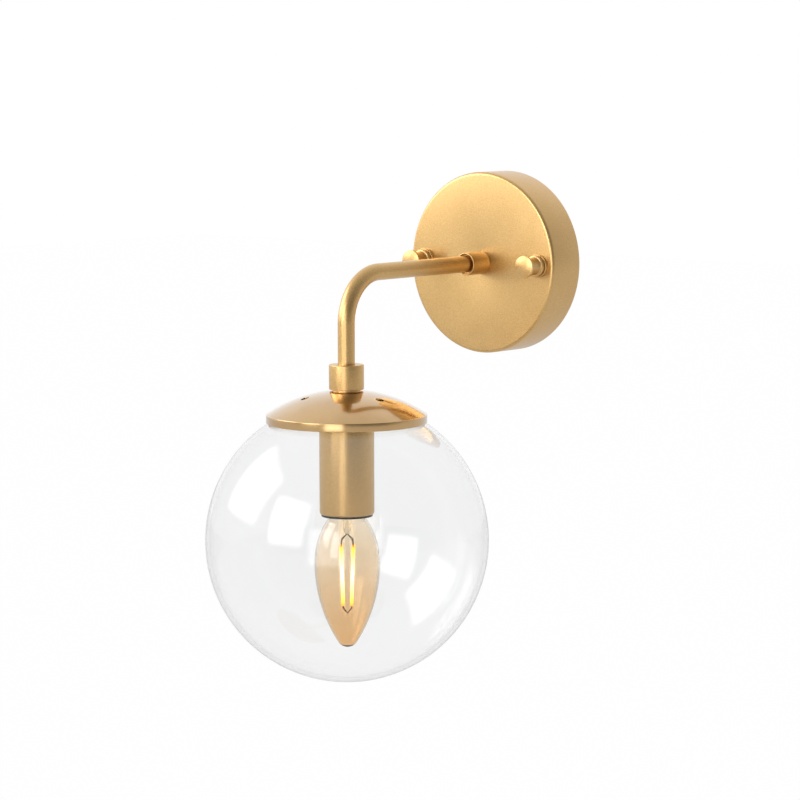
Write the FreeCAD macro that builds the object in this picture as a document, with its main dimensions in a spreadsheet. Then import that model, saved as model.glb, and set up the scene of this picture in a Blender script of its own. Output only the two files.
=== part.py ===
import FreeCAD, Part
import math
import os
import re
import Sketcher

# Globe wall sconce. The origin is the centre of the canopy on the wall plane y = 0.
# The light stands out along -Y, +Z is up and the two knob nuts lie along X.
# The drop axis is the vertical line x = 0, y = -arm_reach that carries cap, globe and bulb.

Vector = FreeCAD.Vector
doc = FreeCAD.newDocument("GlobeWallSconce")

SIZES = [
    ("canopy_radius", 50, "outside radius of the canopy"),
    ("canopy_depth", 24, "how far the canopy face stands off the wall"),
    ("canopy_sheet", 1.0, "sheet of the canopy"),
    ("canopy_edge_round", 1.8, "radius of its front edge"),
    ("stud_spacing", 80, "from one knob nut to the other"),
    ("stud_radius", 2.0, "M4 stud"),
    ("stud_length", 30, "shank of the stud, from its head to its tip"),
    ("stud_head_radius", 3.75, "head of the stud"),
    ("stud_head_height", 2.6, "head of the stud"),
    ("stud_nut_flats", 7, "M4 nut across flats"),
    ("stud_nut_height", 3.2, "M4 nut"),
    ("thread_clearance", 0.05, "radial gap of a screw in its tapped hole"),
    ("hole_clearance", 0.3, "radial gap of a plain clearance hole"),
    ("bar_length", 94, "mounting bracket, end to end"),
    ("bar_width", 14, "mounting bracket strip"),
    ("bar_sheet", 1.5, "mounting bracket strip"),
    ("bar_standoff", 6, "raised ends of the bracket off the wall"),
    ("bar_flat_length", 58, "middle of the bracket that lies on the wall"),
    ("bar_joggle_run", 4, "length of the step up to a raised end"),
    ("wall_slot_spacing", 42, "between the centres of the wall screw slots"),
    ("wall_slot_length", 10, "wall screw slot, end to end"),
    ("wall_slot_radius", 2.3, "half the width of a wall screw slot"),
    ("cable_hole_radius", 6, "hole for the supply cable"),
    ("ear_width", 16, "upright ears of the bracket"),
    ("upper_ear_height", 33, "top of the ear that carries the terminal block"),
    ("lower_ear_depth", 19, "bottom of the ear that carries the earth screw"),
    ("block_width", 19, "terminal block"),
    ("block_height", 16, "terminal block"),
    ("block_depth", 12.5, "terminal block"),
    ("block_centre_height", 23, "terminal block centre above the arm axis"),
    ("pole_spacing", 10.5, "between the two poles of the terminal block"),
    ("pole_standoff", 5.5, "axis of the terminal tubes in front of the bracket"),
    ("pole_tube_radius", 2.6, "terminal tube outside"),
    ("pole_tube_bore", 1.6, "terminal tube inside"),
    ("pole_tube_length", 14, "terminal tube"),
    ("pole_screw_spacing", 7, "between the two screws of one pole"),
    ("pole_screw_radius", 1.25, "terminal screw shank"),
    ("pole_screw_head_radius", 2.0, "terminal screw head"),
    ("pole_screw_head_height", 2.2, "terminal screw head"),
    ("well_gap", 0.2, "pieces set in the hollows of the terminal block"),
    ("screw_setback", 0.2, "tips of the screws clear of the wall"),
    ("block_screw_radius", 1.5, "M3 screw that holds the terminal block"),
    ("block_screw_head_radius", 2.6, "its head"),
    ("block_screw_head_height", 1.8, "its head"),
    ("block_screw_seat", 4, "its head below the front of the block"),
    ("earth_screw_drop", 13, "earth screw below the arm axis"),
    ("earth_head_radius", 3.6, "earth screw head"),
    ("earth_head_height", 2.4, "earth screw head"),
    ("earth_screw_radius", 1.5, "earth screw shank"),
    ("earth_washer_sheet", 0.6, "washer under the earth screw head"),
    ("tag_sheet", 0.6, "ring tags of the earth wire"),
    ("tag_barrel_radius", 1.6, "crimped barrel of a ring tag"),
    ("tag_barrel_length", 5, "crimped barrel of a ring tag"),
    ("tag_barrel_lift", 0.1, "barrel in front of the back of its ring"),
    ("earth_tag_radius", 4.4, "ring of the tag on the bracket"),
    ("arm_tag_radius", 9.3, "ring of the tag on the arm nipple"),
    ("tag_overlap", 0.6, "barrel over the edge of its ring"),
    ("earth_turn_radius", 7, "bends of the earth wire"),
    ("earth_loop_drop", 29, "lowest run of the earth wire below the arm axis"),
    ("wire_radius", 1.1, "insulated lead"),
    ("wire_core_radius", 0.5, "bare end of a lead"),
    ("wire_spacing", 3.0, "between the two leads inside the arm"),
    ("wire_turn_radius", 6, "bend of a lead behind the arm"),
    ("wire_entry_turn_radius", 10, "small bend of a lead under the terminal block"),
    ("wire_lead_in", 5.5, "straight end of a lead below the terminal block"),
    ("wire_core_length", 5, "bare end of a lead in the terminal block"),
    ("wire_core_foot", 4, "bare end of a lead in the lampholder"),
    ("wire_fan_start", 1.4, "leads part this far below the tapped top of the lampholder"),
    ("wire_fan_end", 3, "straight end of a lead above its terminal"),
    ("wire_fan_radius", 8, "bends of a lead inside the lampholder"),
    ("washer_round", 0.4, "edge of the knob washer"),
    ("knob_washer_radius", 6.4, "base washer under a knob nut"),
    ("knob_washer_height", 1.6, "base washer under a knob nut"),
    ("knob_groove_radius", 5.2, "groove between washer and bead"),
    ("knob_groove_height", 0.5, "groove between washer and bead"),
    ("knob_bead_radius", 5.9, "bead of the knob nut"),
    ("knob_bead_height", 1.9, "bead of the knob nut"),
    ("knob_neck_radius", 4.7, "neck of the knob nut"),
    ("knob_neck_length", 7.6, "neck of the knob nut, with its two small coves"),
    ("knob_cove", 0.6, "radius of the coves at the ends of the neck"),
    ("knob_head_radius", 6.05, "head of the knob nut"),
    ("knob_head_rim", 1.4, "upright edge of the head"),
    ("knob_head_rise", 0.8, "low dome of the head"),
    ("knob_edge_round", 0.5, "rounded edges of bead and head"),
    ("knob_bore_spare", 0.5, "tapped depth past the tip of the stud"),
    ("arm_reach", 137, "wall to the drop axis"),
    ("bend_radius", 26, "centre line of the arm's bend"),
    ("tube_radius", 4.5, "arm tube outside"),
    ("tube_wall", 1.0, "arm tube"),
    ("nipple_radius", 5.0, "M10 nipples outside"),
    ("nipple_bore", 3.75, "bore of the drop nipple"),
    ("arm_collar_radius", 6.3, "collar on the canopy"),
    ("arm_collar_length", 14, "collar on the canopy"),
    ("arm_collar_mouth_radius", 5.6, "wider mouth of that collar"),
    ("arm_collar_mouth_depth", 3, "depth of the wider mouth"),
    ("collar_edge_round", 0.4, "edges of both collars"),
    ("arm_nipple_inside", 8, "how far the arm nipple stands in behind the canopy face"),
    ("arm_collar_thread_depth", 6, "part of that collar that screws onto the arm nipple"),
    ("toothed_washer_radius", 8.1, "toothed lock washers"),
    ("toothed_washer_sheet", 0.7, "toothed lock washers"),
    ("washer_tooth_radius", 0.55, "notches of the toothed washers"),
    ("washer_tooth_count", 16, "notches of the toothed washers"),
    ("lock_nut_flats", 14, "M10 lock nut across flats"),
    ("lock_nut_height", 3.0, "M10 lock nut"),
    ("cap_seat_drop", 61.2, "arm axis down to the flat seat on the cap"),
    ("drop_collar_radius", 9.25, "collar on the cap"),
    ("drop_collar_height", 13.9, "collar on the cap, with its spigot"),
    ("spigot_radius", 7.6, "narrower foot of the drop collar"),
    ("spigot_height", 0.8, "narrower foot of the drop collar"),
    ("tube_seat_depth", 8.6, "how deep the tube sits in the drop collar"),
    ("drop_nipple_length", 16.4, "drop nipple"),
    ("cap_radius", 42.5, "outside radius of the cap's rim"),
    ("cap_sheet", 1.0, "sheet of the cap"),
    ("cap_seat_radius", 8.2, "flat seat in the middle of the dome"),
    ("cap_dome_radius", 77, "sphere of the dome"),
    ("cap_rise", 12.3, "seat down to the foot of the dome"),
    ("cap_shoulder", 0.5, "rounded step from the dome to the rim"),
    ("cap_rim_height", 4.0, "upright rim below the step"),
    ("vent_ring_radius", 23, "vent holes from the drop axis"),
    ("vent_hole_radius", 2.2, "vent hole"),
    ("vent_count", 3, "vent holes round the dome"),
    ("clip_plate_radius", 20, "plate that carries the clips"),
    ("clip_plate_sheet", 1.0, "plate that carries the clips"),
    ("clip_count", 3, "spring clips round the globe's mouth"),
    ("clip_width", 9, "spring clip"),
    ("clip_sheet", 0.6, "spring clip"),
    ("clip_root_gap", 0.7, "clip root clear of the lampholder sleeve"),
    ("clip_flat_end", 22, "radius where the clip starts to slope down"),
    ("clip_slope_drop", 6.1, "how far the slope of the clip comes down"),
    ("clip_mouth_gap", 0.4, "clip leg clear of the glass mouth"),
    ("clip_hook_gap", 0.3, "clip hook below the glass"),
    ("clip_hook_reach", 2.8, "how far the hook stands out past the leg"),
    ("clip_hook_fall", 1.35, "how far the hook slopes down"),
    ("rivet_ring_radius", 18, "clip rivets from the drop axis"),
    ("rivet_radius", 1.5, "clip rivet shank"),
    ("rivet_head_radius", 2.3, "clip rivet heads"),
    ("rivet_head_height", 0.8, "clip rivet heads"),
    ("sleeve_radius", 14.5, "lampholder sleeve"),
    ("sleeve_wall", 0.8, "lampholder sleeve"),
    ("sleeve_length", 59.8, "lampholder sleeve"),
    ("sleeve_edge_round", 1.1, "rounded lower edge of the sleeve"),
    ("sleeve_top_round", 1.5, "rounded upper edge of the sleeve"),
    ("holder_cap_radius", 12.5, "upper half of the lampholder"),
    ("holder_cap_height", 16.3, "upper half of the lampholder"),
    ("holder_cap_wall", 1.6, "upper half of the lampholder"),
    ("holder_thread_depth", 5.4, "top of the lampholder, tapped for the nipple"),
    ("holder_cap_round", 3.5, "shoulder of the lampholder's upper half"),
    ("terminal_room", 8, "wiring space above the lampholder's core"),
    ("core_height", 11, "insulating core"),
    ("core_gap", 0.1, "core inside the skirt"),
    ("core_recess_radius", 5.6, "hollow under the core for the centre contact"),
    ("core_recess_depth", 5, "hollow under the core for the centre contact"),
    ("slot_play", 0.3, "play of the contact strips in their slots"),
    ("skirt_radius", 12.6, "lower half of the lampholder"),
    ("skirt_wall", 1.4, "outer wall of the lampholder's lower half"),
    ("skirt_inner_wall", 1.55, "tube that holds the screw shell"),
    ("skirt_web", 2.3, "floor between the two walls"),
    ("skirt_mouth_radius", 10.2, "mouth of the lampholder"),
    ("skirt_mouth_depth", 6.4, "mouth of the lampholder"),
    ("skirt_lip_radius", 13.6, "black lip under the sleeve"),
    ("skirt_lip_height", 1.0, "black lip under the sleeve"),
    ("shell_bore", 7.15, "screw shell inside"),
    ("shell_wall", 0.45, "screw shell"),
    ("shell_drop", 1.5, "top of the screw shell below the core"),
    ("shell_tab_offset", 7.45, "outer face of the shell's strip from the drop axis"),
    ("contact_width", 3, "contact strips"),
    ("contact_sheet", 0.5, "centre contact strip"),
    ("contact_inset", 1.8, "centre contact above the foot of the core"),
    ("contact_reach", 2.5, "free end of the centre contact past the drop axis"),
    ("contact_stem_offset", 5.0, "upright stem of the centre contact"),
    ("contact_stem_top_gap", 1.1, "stem below the terminal"),
    ("post_spacing", 11, "between the lampholder's terminals"),
    ("post_width", 4, "lampholder terminal"),
    ("post_depth", 5, "lampholder terminal"),
    ("post_height", 7, "lampholder terminal"),
    ("post_hole_radius", 1.3, "wire hole in a terminal"),
    ("post_hole_depth", 5, "wire hole in a terminal"),
    ("post_screw_radius", 1.1, "terminal screw of the lampholder"),
    ("post_screw_depth", 2.5, "screw below the top of the terminal"),
    ("post_screw_head_radius", 1.8, "its head"),
    ("post_screw_head_height", 1.4, "its head"),
    ("globe_radius", 75, "glass globe outside"),
    ("globe_wall", 2.0, "glass globe"),
    ("globe_mouth_radius", 34, "round opening at the top of the globe"),
    ("globe_rim_gap", 0.3, "rim of the cap above the glass"),
    ("bulb_length", 96.9, "bulb, tip of its base to tip of its glass"),
    ("bulb_base_length", 25, "bulb base"),
    ("bulb_contact_gap", 0.3, "bulb tip below the centre contact"),
    ("bulb_thread_radius", 6.85, "threaded part of the base"),
    ("bulb_base_sheet", 0.35, "sheet of the base"),
    ("bulb_flare_radius", 8.5, "flared foot of the base"),
    ("bulb_flare_height", 1.5, "flared foot of the base"),
    ("bulb_flare_slope", 3, "slope between thread and foot"),
    ("bulb_tip_radius", 2.3, "solder tip of the base"),
    ("bulb_tip_height", 1.8, "solder tip of the base"),
    ("bulb_tip_dome", 0.9, "solder tip of the base"),
    ("insulator_foot_radius", 5.6, "black insulator of the base"),
    ("insulator_slope", 2.8, "black insulator of the base"),
    ("insulator_height", 5, "black insulator of the base"),
    ("bulb_radius", 17.4, "widest part of the bulb's glass"),
    ("bulb_belly_drop", 26.5, "foot of the base down to the widest part"),
    ("bulb_neck_radius", 8.0, "glass at the foot of the base"),
    ("bulb_neck_inside_radius", 6.2, "glass neck inside the base"),
    ("bulb_neck_inside", 8, "how far the neck stands into the base"),
    ("bulb_glass_wall", 0.8, "glass of the bulb"),
    ("bulb_nose_radius", 4.5, "where the blunt tip starts"),
    ("bulb_nose_height", 2.0, "blunt tip"),
    ("stem_flare_gap", 0.05, "stem inside the neck"),
    ("stem_radius", 2.2, "glass stem of the bulb"),
    ("stem_length", 19, "glass stem of the bulb"),
    ("stem_press_height", 3.2, "flattened seal at the top of the stem"),
    ("filament_radius", 0.9, "filament"),
    ("filament_length", 32.5, "filament"),
    ("filament_drop", 17, "foot of the base down to the filaments"),
    ("filament_ring_radius", 4.6, "top of the filaments from the drop axis"),
    ("filament_foot_ring_radius", 3.2, "foot of the filaments from the drop axis"),
    ("filament_count", 4, "filaments"),
    ("filament_wire_radius", 0.3, "support wires"),
    ("filament_hub_drop", 4, "lower star of wires below the filaments"),
    ("filament_wire_gap", 0.25, "ends of the wires clear of stem and filaments"),
]

sizes = doc.addObject("Spreadsheet::Sheet", "Sizes")
for row, (alias, number, meaning) in enumerate(SIZES, start=1):
    sizes.set("A%d" % row, alias)
    sizes.set("B%d" % row, str(number))
    sizes.setAlias("B%d" % row, alias)
    sizes.set("C%d" % row, meaning)
doc.recompute()


def bound(text):
    """The expression with each size's name pointing at its cell."""
    return re.sub(r"\b([a-z]+(?:_[a-z]+)+)\b", r"Sizes.\1", text)


def value(text):
    """The number that an expression of sizes comes to."""
    return float(sizes.evalExpression(bound(text)))


# Levels on the wall axis, in front of the wall (negative y).
FACE = "-canopy_depth"
FACE_INSIDE = "(canopy_sheet - canopy_depth)"
COLLAR_MOUTH = "(-canopy_depth - arm_collar_length)"
NIPPLE_BACK = "(arm_nipple_inside - canopy_depth)"
TUBE_BACK = "(-canopy_depth - arm_collar_thread_depth)"
WASHER_BACK = "(canopy_sheet - canopy_depth + toothed_washer_sheet)"
ARM_TAG_BACK = "(canopy_sheet - canopy_depth + toothed_washer_sheet + tag_sheet)"
BAR_FRONT = "-bar_sheet"
BAR_END_BACK = "-bar_standoff"
BAR_END_FRONT = "(-bar_standoff - bar_sheet)"
POLE_AXIS = "(-bar_sheet - pole_standoff)"

# Levels on the drop axis, below the arm axis (negative z).
COLLAR_TOP = "(drop_collar_height - cap_seat_drop)"
TUBE_FOOT = "(drop_collar_height - cap_seat_drop - tube_seat_depth)"
SEAT = "-cap_seat_drop"
SEAT_UNDER = "(-cap_seat_drop - cap_sheet)"
CAP_NUT_TOP = "(-cap_seat_drop - cap_sheet - toothed_washer_sheet)"
PLATE_TOP = "(-cap_seat_drop - cap_sheet - toothed_washer_sheet - lock_nut_height)"
PLATE_UNDER = "(%s - clip_plate_sheet)" % PLATE_TOP
SLEEVE_FOOT = "(%s - sleeve_length)" % PLATE_UNDER
HOLDER_TOP = "(%s - sleeve_wall)" % PLATE_UNDER
HOLDER_SPLIT = "(%s - holder_cap_height)" % HOLDER_TOP
CORE_TOP = "(%s - terminal_room)" % HOLDER_SPLIT
CORE_FOOT = "(%s - core_height)" % CORE_TOP
CONTACT_UNDER = "(%s + contact_inset)" % CORE_FOOT
LIP_FOOT = "(%s - skirt_lip_height)" % SLEEVE_FOOT
MOUTH_TOP = "(%s + skirt_mouth_depth)" % LIP_FOOT
RIM_TOP = "(-cap_seat_drop - cap_rise)"
RIM_FOOT = "(-cap_seat_drop - cap_rise - cap_shoulder - cap_rim_height)"
CAP_INSIDE_RADIUS = "(cap_radius - cap_sheet)"
GLOBE_CENTRE = "(%s - globe_rim_gap - sqrt(globe_radius ^ 2 - %s ^ 2))" % (RIM_FOOT, CAP_INSIDE_RADIUS)
BULB_TOP = "(%s - bulb_contact_gap)" % CONTACT_UNDER
BULB_BASE_FOOT = "(%s - bulb_base_length)" % BULB_TOP
BULB_NOSE = "(%s - bulb_length)" % BULB_TOP
BELLY = "(%s - bulb_belly_drop)" % BULB_BASE_FOOT
DROP_AXIS = "-arm_reach"


def origin_feature(body, role):
    """The body's own origin plane or axis."""
    return next(item for item in body.Origin.OriginFeatures if item.Role == role)


def sketch_on(body, name, role):
    """A sketch on one of the body's origin planes."""
    sketch = body.newObject("Sketcher::SketchObject", name)
    sketch.AttachmentSupport = [(origin_feature(body, role), "")]
    sketch.MapMode = "FlatFace"
    return sketch


def draw(sketch, corners):
    """A closed outline. A corner is (across, up), or (across, up, radius, side) where the
    stretch that ends there is an arc with its centre to the left (1) or right (-1)."""
    spots = [(value(corner[0]), value(corner[1])) for corner in corners]
    count = len(corners)
    first = sketch.GeometryCount
    reversed_arc = []
    for index in range(count):
        start = spots[index]
        goal = spots[(index + 1) % count]
        corner = corners[(index + 1) % count]
        if len(corner) == 2:
            sketch.addGeometry(Part.LineSegment(Vector(*start, 0), Vector(*goal, 0)))
            reversed_arc.append(False)
            continue
        radius = value(corner[2])
        side = corner[3]
        run = (goal[0] - start[0], goal[1] - start[1])
        chord = math.hypot(*run)
        rise = math.sqrt(max(radius ** 2 - chord ** 2 / 4, 0)) / chord
        centre = (
            (start[0] + goal[0]) / 2 - side * run[1] * rise,
            (start[1] + goal[1]) / 2 + side * run[0] * rise,
        )
        angles = [math.atan2(end[1] - centre[1], end[0] - centre[0]) for end in (start, goal)]
        if side < 0:
            angles.reverse()
        circle = Part.Circle(Vector(*centre, 0), Vector(0, 0, 1), radius)
        sketch.addGeometry(Part.ArcOfCircle(circle, *angles))
        reversed_arc.append(side < 0)
    for index in range(count):
        following = (index + 1) % count
        begin = 2 if reversed_arc[index] else 1
        end = 1 if reversed_arc[index] else 2
        next_begin = 2 if reversed_arc[following] else 1
        line = first + index
        sketch.addConstraint(
            Sketcher.Constraint("Coincident", line, end, first + following, next_begin)
        )
        for kind, part in (("DistanceX", 0), ("DistanceY", 1)):
            number = sketch.addConstraint(
                Sketcher.Constraint(kind, -1, 1, line, begin, spots[index][part])
            )
            sketch.setExpression("Constraints[%d]" % number, bound(corners[index][part]))
        corner = corners[following]
        if len(corner) == 4:
            number = sketch.addConstraint(Sketcher.Constraint("Radius", line, value(corner[2])))
            sketch.setExpression("Constraints[%d]" % number, bound(corner[2]))


def draw_circle(sketch, across, up, radius):
    """A circle in the sketch, bound to three expressions."""
    centre = Vector(value(across), value(up), 0)
    line = sketch.addGeometry(Part.Circle(centre, Vector(0, 0, 1), value(radius)))
    wanted = (
        (Sketcher.Constraint("DistanceX", -1, 1, line, 3, centre.x), across),
        (Sketcher.Constraint("DistanceY", -1, 1, line, 3, centre.y), up),
        (Sketcher.Constraint("Radius", line, value(radius)), radius),
    )
    for constraint, text in wanted:
        number = sketch.addConstraint(constraint)
        sketch.setExpression("Constraints[%d]" % number, bound(text))


def draw_box(sketch, left, right, low, high):
    """A rectangle between four expressions."""
    draw(sketch, [(left, low), (right, low), (right, high), (left, high)])


def new_body(name, x="0", y="0", z="0"):
    """An empty body under the sub-part's name, at a bound place."""
    body = doc.addObject("PartDesign::Body", name)
    body.Label = name
    for axis, text in (("x", x), ("y", y), ("z", z)):
        body.setExpression("Placement.Base." + axis, bound(text))
    return body


def turned(name, axis, corners, x="0", y="0"):
    """A piece turned about its own Y or Z axis. Corners are (radius, place along the axis)."""
    body = new_body(name, x, y)
    role = {"Y": "XY_Plane", "Z": "XZ_Plane"}[axis]
    sketch = sketch_on(body, name + "_outline", role)
    draw(sketch, corners)
    turn = body.newObject("PartDesign::Revolution", name + "_turn")
    turn.Profile = sketch
    turn.ReferenceAxis = (sketch, ["V_Axis"])
    turn.Angle = 360
    body.Tip = turn
    return body


def tube_outline(inner, outer, low, high):
    """The outline of a plain ring or tube."""
    return [(inner, low), (outer, low), (outer, high), (inner, high)]


def extruded(body, name, role, corners, width):
    """A closed outline pushed out to both sides of an origin plane."""
    sketch = sketch_on(body, name + "_outline", role)
    draw(sketch, corners)
    pad = body.newObject("PartDesign::Pad", name)
    pad.Profile = sketch
    pad.Midplane = True
    pad.setExpression("Length", bound(width))
    body.Tip = pad
    return pad


def cut_through(body, name, role, draw_holes):
    """Holes right through the body, square to an origin plane."""
    doc.recompute()
    before = body.Shape.Volume
    sketch = sketch_on(body, name + "_outline", role)
    draw_holes(sketch)
    pocket = body.newObject("PartDesign::Pocket", name)
    pocket.Profile = sketch
    pocket.Type = "ThroughAll"
    pocket.Midplane = True
    body.Tip = pocket
    doc.recompute()
    if body.Shape.Volume > before - 1e-6:
        raise RuntimeError(name + " cut nothing")
    return pocket


def spread_round(body, feature, name, role, count):
    """Copies of a feature round one of the body's axes."""
    pattern = body.newObject("PartDesign::PolarPattern", name)
    pattern.Originals = [feature]
    pattern.Axis = (origin_feature(body, role), [""])
    pattern.Angle = 360
    pattern.setExpression("Occurrences", bound(count))
    body.Tip = pattern
    return pattern


TURN_TO = {
    "X": FreeCAD.Rotation(Vector(0, 1, 0), 90),
    "-Y": FreeCAD.Rotation(Vector(1, 0, 0), 90),
    "Y": FreeCAD.Rotation(Vector(1, 0, 0), -90),
    "Z": FreeCAD.Rotation(),
}


def placed(item, x, y, z, towards="Z"):
    """The item with its axis turned and its base point bound."""
    item.Placement = FreeCAD.Placement(Vector(0, 0, 0), TURN_TO[towards])
    for axis, text in (("x", x), ("y", y), ("z", z)):
        item.setExpression("Placement.Base." + axis, bound(text))
    return item


def rod(name, radius, length, x, y, z, towards):
    """A plain cylinder from its base point towards an axis."""
    item = doc.addObject("Part::Cylinder", name)
    item.setExpression("Radius", bound(radius))
    item.setExpression("Height", bound(length))
    return placed(item, x, y, z, towards)


def block(name, x_range, y_range, z_range):
    """A plain box between three pairs of expressions."""
    item = doc.addObject("Part::Box", name)
    spans = (x_range, y_range, z_range)
    for side, (low, high) in zip(("Length", "Width", "Height"), spans):
        item.setExpression(side, bound("(%s) - (%s)" % (high, low)))
    return placed(item, x_range[0], y_range[0], z_range[0])


def joined(name, pieces):
    """Several shapes made one."""
    item = doc.addObject("Part::MultiFuse", name)
    item.Shapes = pieces
    return item


def cut(name, base, tools):
    """A shape with others taken out of it."""
    item = doc.addObject("Part::Cut", name)
    item.Base = base
    item.Tool = tools[0] if len(tools) == 1 else joined(name + "_tools", tools)
    return item


def group(name, pieces):
    """Like pieces that share a node, each still a solid of its own."""
    item = doc.addObject("Part::Compound", name)
    item.Links = pieces
    return item


def lock_nut(name, flats, height, bore, x, y, z, towards):
    """A hexagon nut from its base point towards an axis."""
    hexagon = doc.addObject("Part::Prism", name + "_hexagon")
    hexagon.Polygon = 6
    hexagon.setExpression("Circumradius", bound("%s / 2 / cos(30)" % flats))
    hexagon.setExpression("Height", bound(height))
    placed(hexagon, x, y, z, towards)
    return cut(name, hexagon, [rod(name + "_bore", bore, height, x, y, z, towards)])


OPPOSITE = {"Y": "-Y", "-Y": "Y"}


def screw(name, head, shank, x, y, z, towards):
    """A cylinder-head screw. The base point is under its head and the shank runs towards."""
    shank_piece = rod(name + "_shank", shank[0], shank[1], x, y, z, towards)
    head_piece = rod(name + "_head", head[0], head[1], x, y, z, OPPOSITE[towards])
    return joined(name, [head_piece, shank_piece])


OUT = (1, 0)
IN = (-1, 0)
UP = (0, 1)
DOWN = (0, -1)


def soft(across, up, radius, arrive, leave):
    """A square corner rounded off, from the way it is reached to the way it is left."""
    before = ["(%s) - (%s) * %d" % (text, radius, way) for text, way in zip((across, up), arrive)]
    after = ["(%s) + (%s) * %d" % (text, radius, way) for text, way in zip((across, up), leave)]
    side = arrive[0] * leave[1] - arrive[1] * leave[0]
    return [tuple(before), (after[0], after[1], radius, side)]


def tangent_radius(rise, run):
    """The arc that starts upright and moves in by run over the given rise."""
    return "((%s) ^ 2 + (%s) ^ 2) / (2 * (%s))" % (rise, run, run)


def cap_arc(rise, run):
    """The radius of a dome that rises over the run from the axis to its edge."""
    return "((%s) ^ 2 + (%s) ^ 2) / (2 * (%s))" % (rise, run, rise)


def bent_wire(name, points, bends, radius, core_radius="0", core_lengths=("0", "0")):
    """A round wire along straight runs with an arc at each corner, and its bare ends."""
    spots = [Vector(*[value(text) for text in point]) for point in points]
    edges = []
    last = spots[0]
    for index, bend in enumerate(bends, start=1):
        arrive = (spots[index] - spots[index - 1]).normalize()
        leave = (spots[index + 1] - spots[index]).normalize()
        half_turn = arrive.getAngle(leave) / 2
        reach = value(bend) * math.tan(half_turn)
        inward = (leave - arrive).normalize()
        begin = spots[index] - arrive * reach
        middle = spots[index] + inward * (value(bend) / math.cos(half_turn) - value(bend))
        finish = spots[index] + leave * reach
        edges.append(Part.LineSegment(last, begin).toShape())
        edges.append(Part.Arc(begin, middle, finish).toShape())
        last = finish
    edges.append(Part.LineSegment(last, spots[-1]).toShape())
    spine = Part.Wire(edges)
    ring = Part.Wire(Part.makeCircle(value(radius), spots[0], spots[1] - spots[0]))
    shape = spine.makePipeShell([ring], True, False)
    full = math.pi * value(radius) ** 2 * spine.Length
    if abs(shape.Volume - full) > 0.01 * full:
        raise RuntimeError(name + " is not the section times its length")
    ends = ((spots[0], spots[1], core_lengths[0]), (spots[-1], spots[-2], core_lengths[1]))
    for tip, inner, length in ends:
        if value(length) > 0:
            core = Part.makeCylinder(value(core_radius), value(length), tip, tip - inner)
            shape = shape.fuse(core)
    item = doc.addObject("Part::Feature", name)
    item.Shape = shape.removeSplitter()
    item.Placement = FreeCAD.Placement()
    return item


def strut(radius, start, end):
    """A straight round rod between two points."""
    first, last = [Vector(*[value(text) for text in point]) for point in (start, end)]
    return Part.makeCylinder(value(radius), (last - first).Length, first, last - first)


SIDES = (("left", "-"), ("right", ""))


# Wall side: the bracket and what is fixed to it.


def draw_slot(sketch, left, right, radius):
    """A level slot with round ends, between its two ends."""
    low = "-(%s)" % radius
    near = "(%s + %s)" % (left, radius)
    far = "(%s - %s)" % (right, radius)
    corners = [(near, low, radius, 1), (far, low), (right, "0", radius, 1)]
    corners += [(far, radius, radius, 1), (near, radius), (left, "0", radius, 1)]
    draw(sketch, corners)


def mounting_bracket():
    """Steel strip with raised ends, and an ear above and below."""
    body = new_body("mounting_bracket")
    flat = "bar_flat_length / 2"
    step = "bar_flat_length / 2 + bar_joggle_run"
    end = "bar_length / 2"
    shift = "bar_sheet * tan(atan(bar_standoff / bar_joggle_run) / 2)"
    outline = [(end, BAR_END_FRONT), (end, BAR_END_BACK), (step, BAR_END_BACK), (flat, "0")]
    front = [(flat + " - " + shift, BAR_FRONT), (step + " - " + shift, BAR_END_FRONT)]
    outline += [("-(%s)" % across, up) for across, up in outline[::-1]]
    outline += [("-(%s)" % across, up) for across, up in front[::-1]] + front
    extruded(body, "bracket_strip", "XY_Plane", outline, "bar_width")

    ear_sketch = sketch_on(body, "bracket_ears_outline", "XZ_Plane")
    draw_box(ear_sketch, "-ear_width / 2", "ear_width / 2", "-lower_ear_depth", "upper_ear_height")
    ears = body.newObject("PartDesign::Pad", "bracket_ears")
    ears.Profile = ear_sketch
    ears.setExpression("Length", bound("bar_sheet"))
    body.Tip = ears

    def holes(sketch):
        draw_circle(sketch, "0", "0", "cable_hole_radius")
        draw_circle(sketch, "0", "block_centre_height", "block_screw_radius + thread_clearance")
        draw_circle(sketch, "0", "-earth_screw_drop", "earth_screw_radius + thread_clearance")
        for _, sign in SIDES:
            middle = sign + "wall_slot_spacing / 2"
            near = middle + " - wall_slot_length / 2"
            far = middle + " + wall_slot_length / 2"
            draw_slot(sketch, near, far, "wall_slot_radius")
            draw_circle(sketch, sign + "stud_spacing / 2", "0", "stud_radius + thread_clearance")

    cut_through(body, "bracket_holes", "XZ_Plane", holes)
    return body


def canopy_studs():
    """Two M4 screws put through the raised ends of the bracket from behind."""
    head = ("stud_head_radius", "stud_head_height")
    shank = ("stud_radius", "stud_length")
    pieces = []
    for side, sign in SIDES:
        across = sign + "stud_spacing / 2"
        pieces.append(screw("stud_" + side, head, shank, across, BAR_END_BACK, "0", "-Y"))
    return group("canopy_studs", pieces)


def stud_nuts():
    """The nuts that lock the studs to the bracket."""
    pieces = []
    for side, sign in SIDES:
        across = sign + "stud_spacing / 2"
        bore = "stud_radius + thread_clearance"
        nut = ("stud_nut_" + side, "stud_nut_flats", "stud_nut_height", bore)
        pieces.append(lock_nut(*nut, across, BAR_END_FRONT, "0", "-Y"))
    return group("stud_nuts", pieces)


BLOCK_FOOT = "(block_centre_height - block_height / 2)"
BLOCK_HEAD = "(block_centre_height + block_height / 2)"
BLOCK_FRONT = "(-bar_sheet - block_depth)"
BLOCK_SCREW_SEAT = "(-bar_sheet - block_depth + block_screw_seat)"
POLE_FOOT = "(block_centre_height - pole_tube_length / 2)"
POLE_FACE = "(-bar_sheet - pole_standoff - pole_tube_radius - well_gap)"


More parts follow.
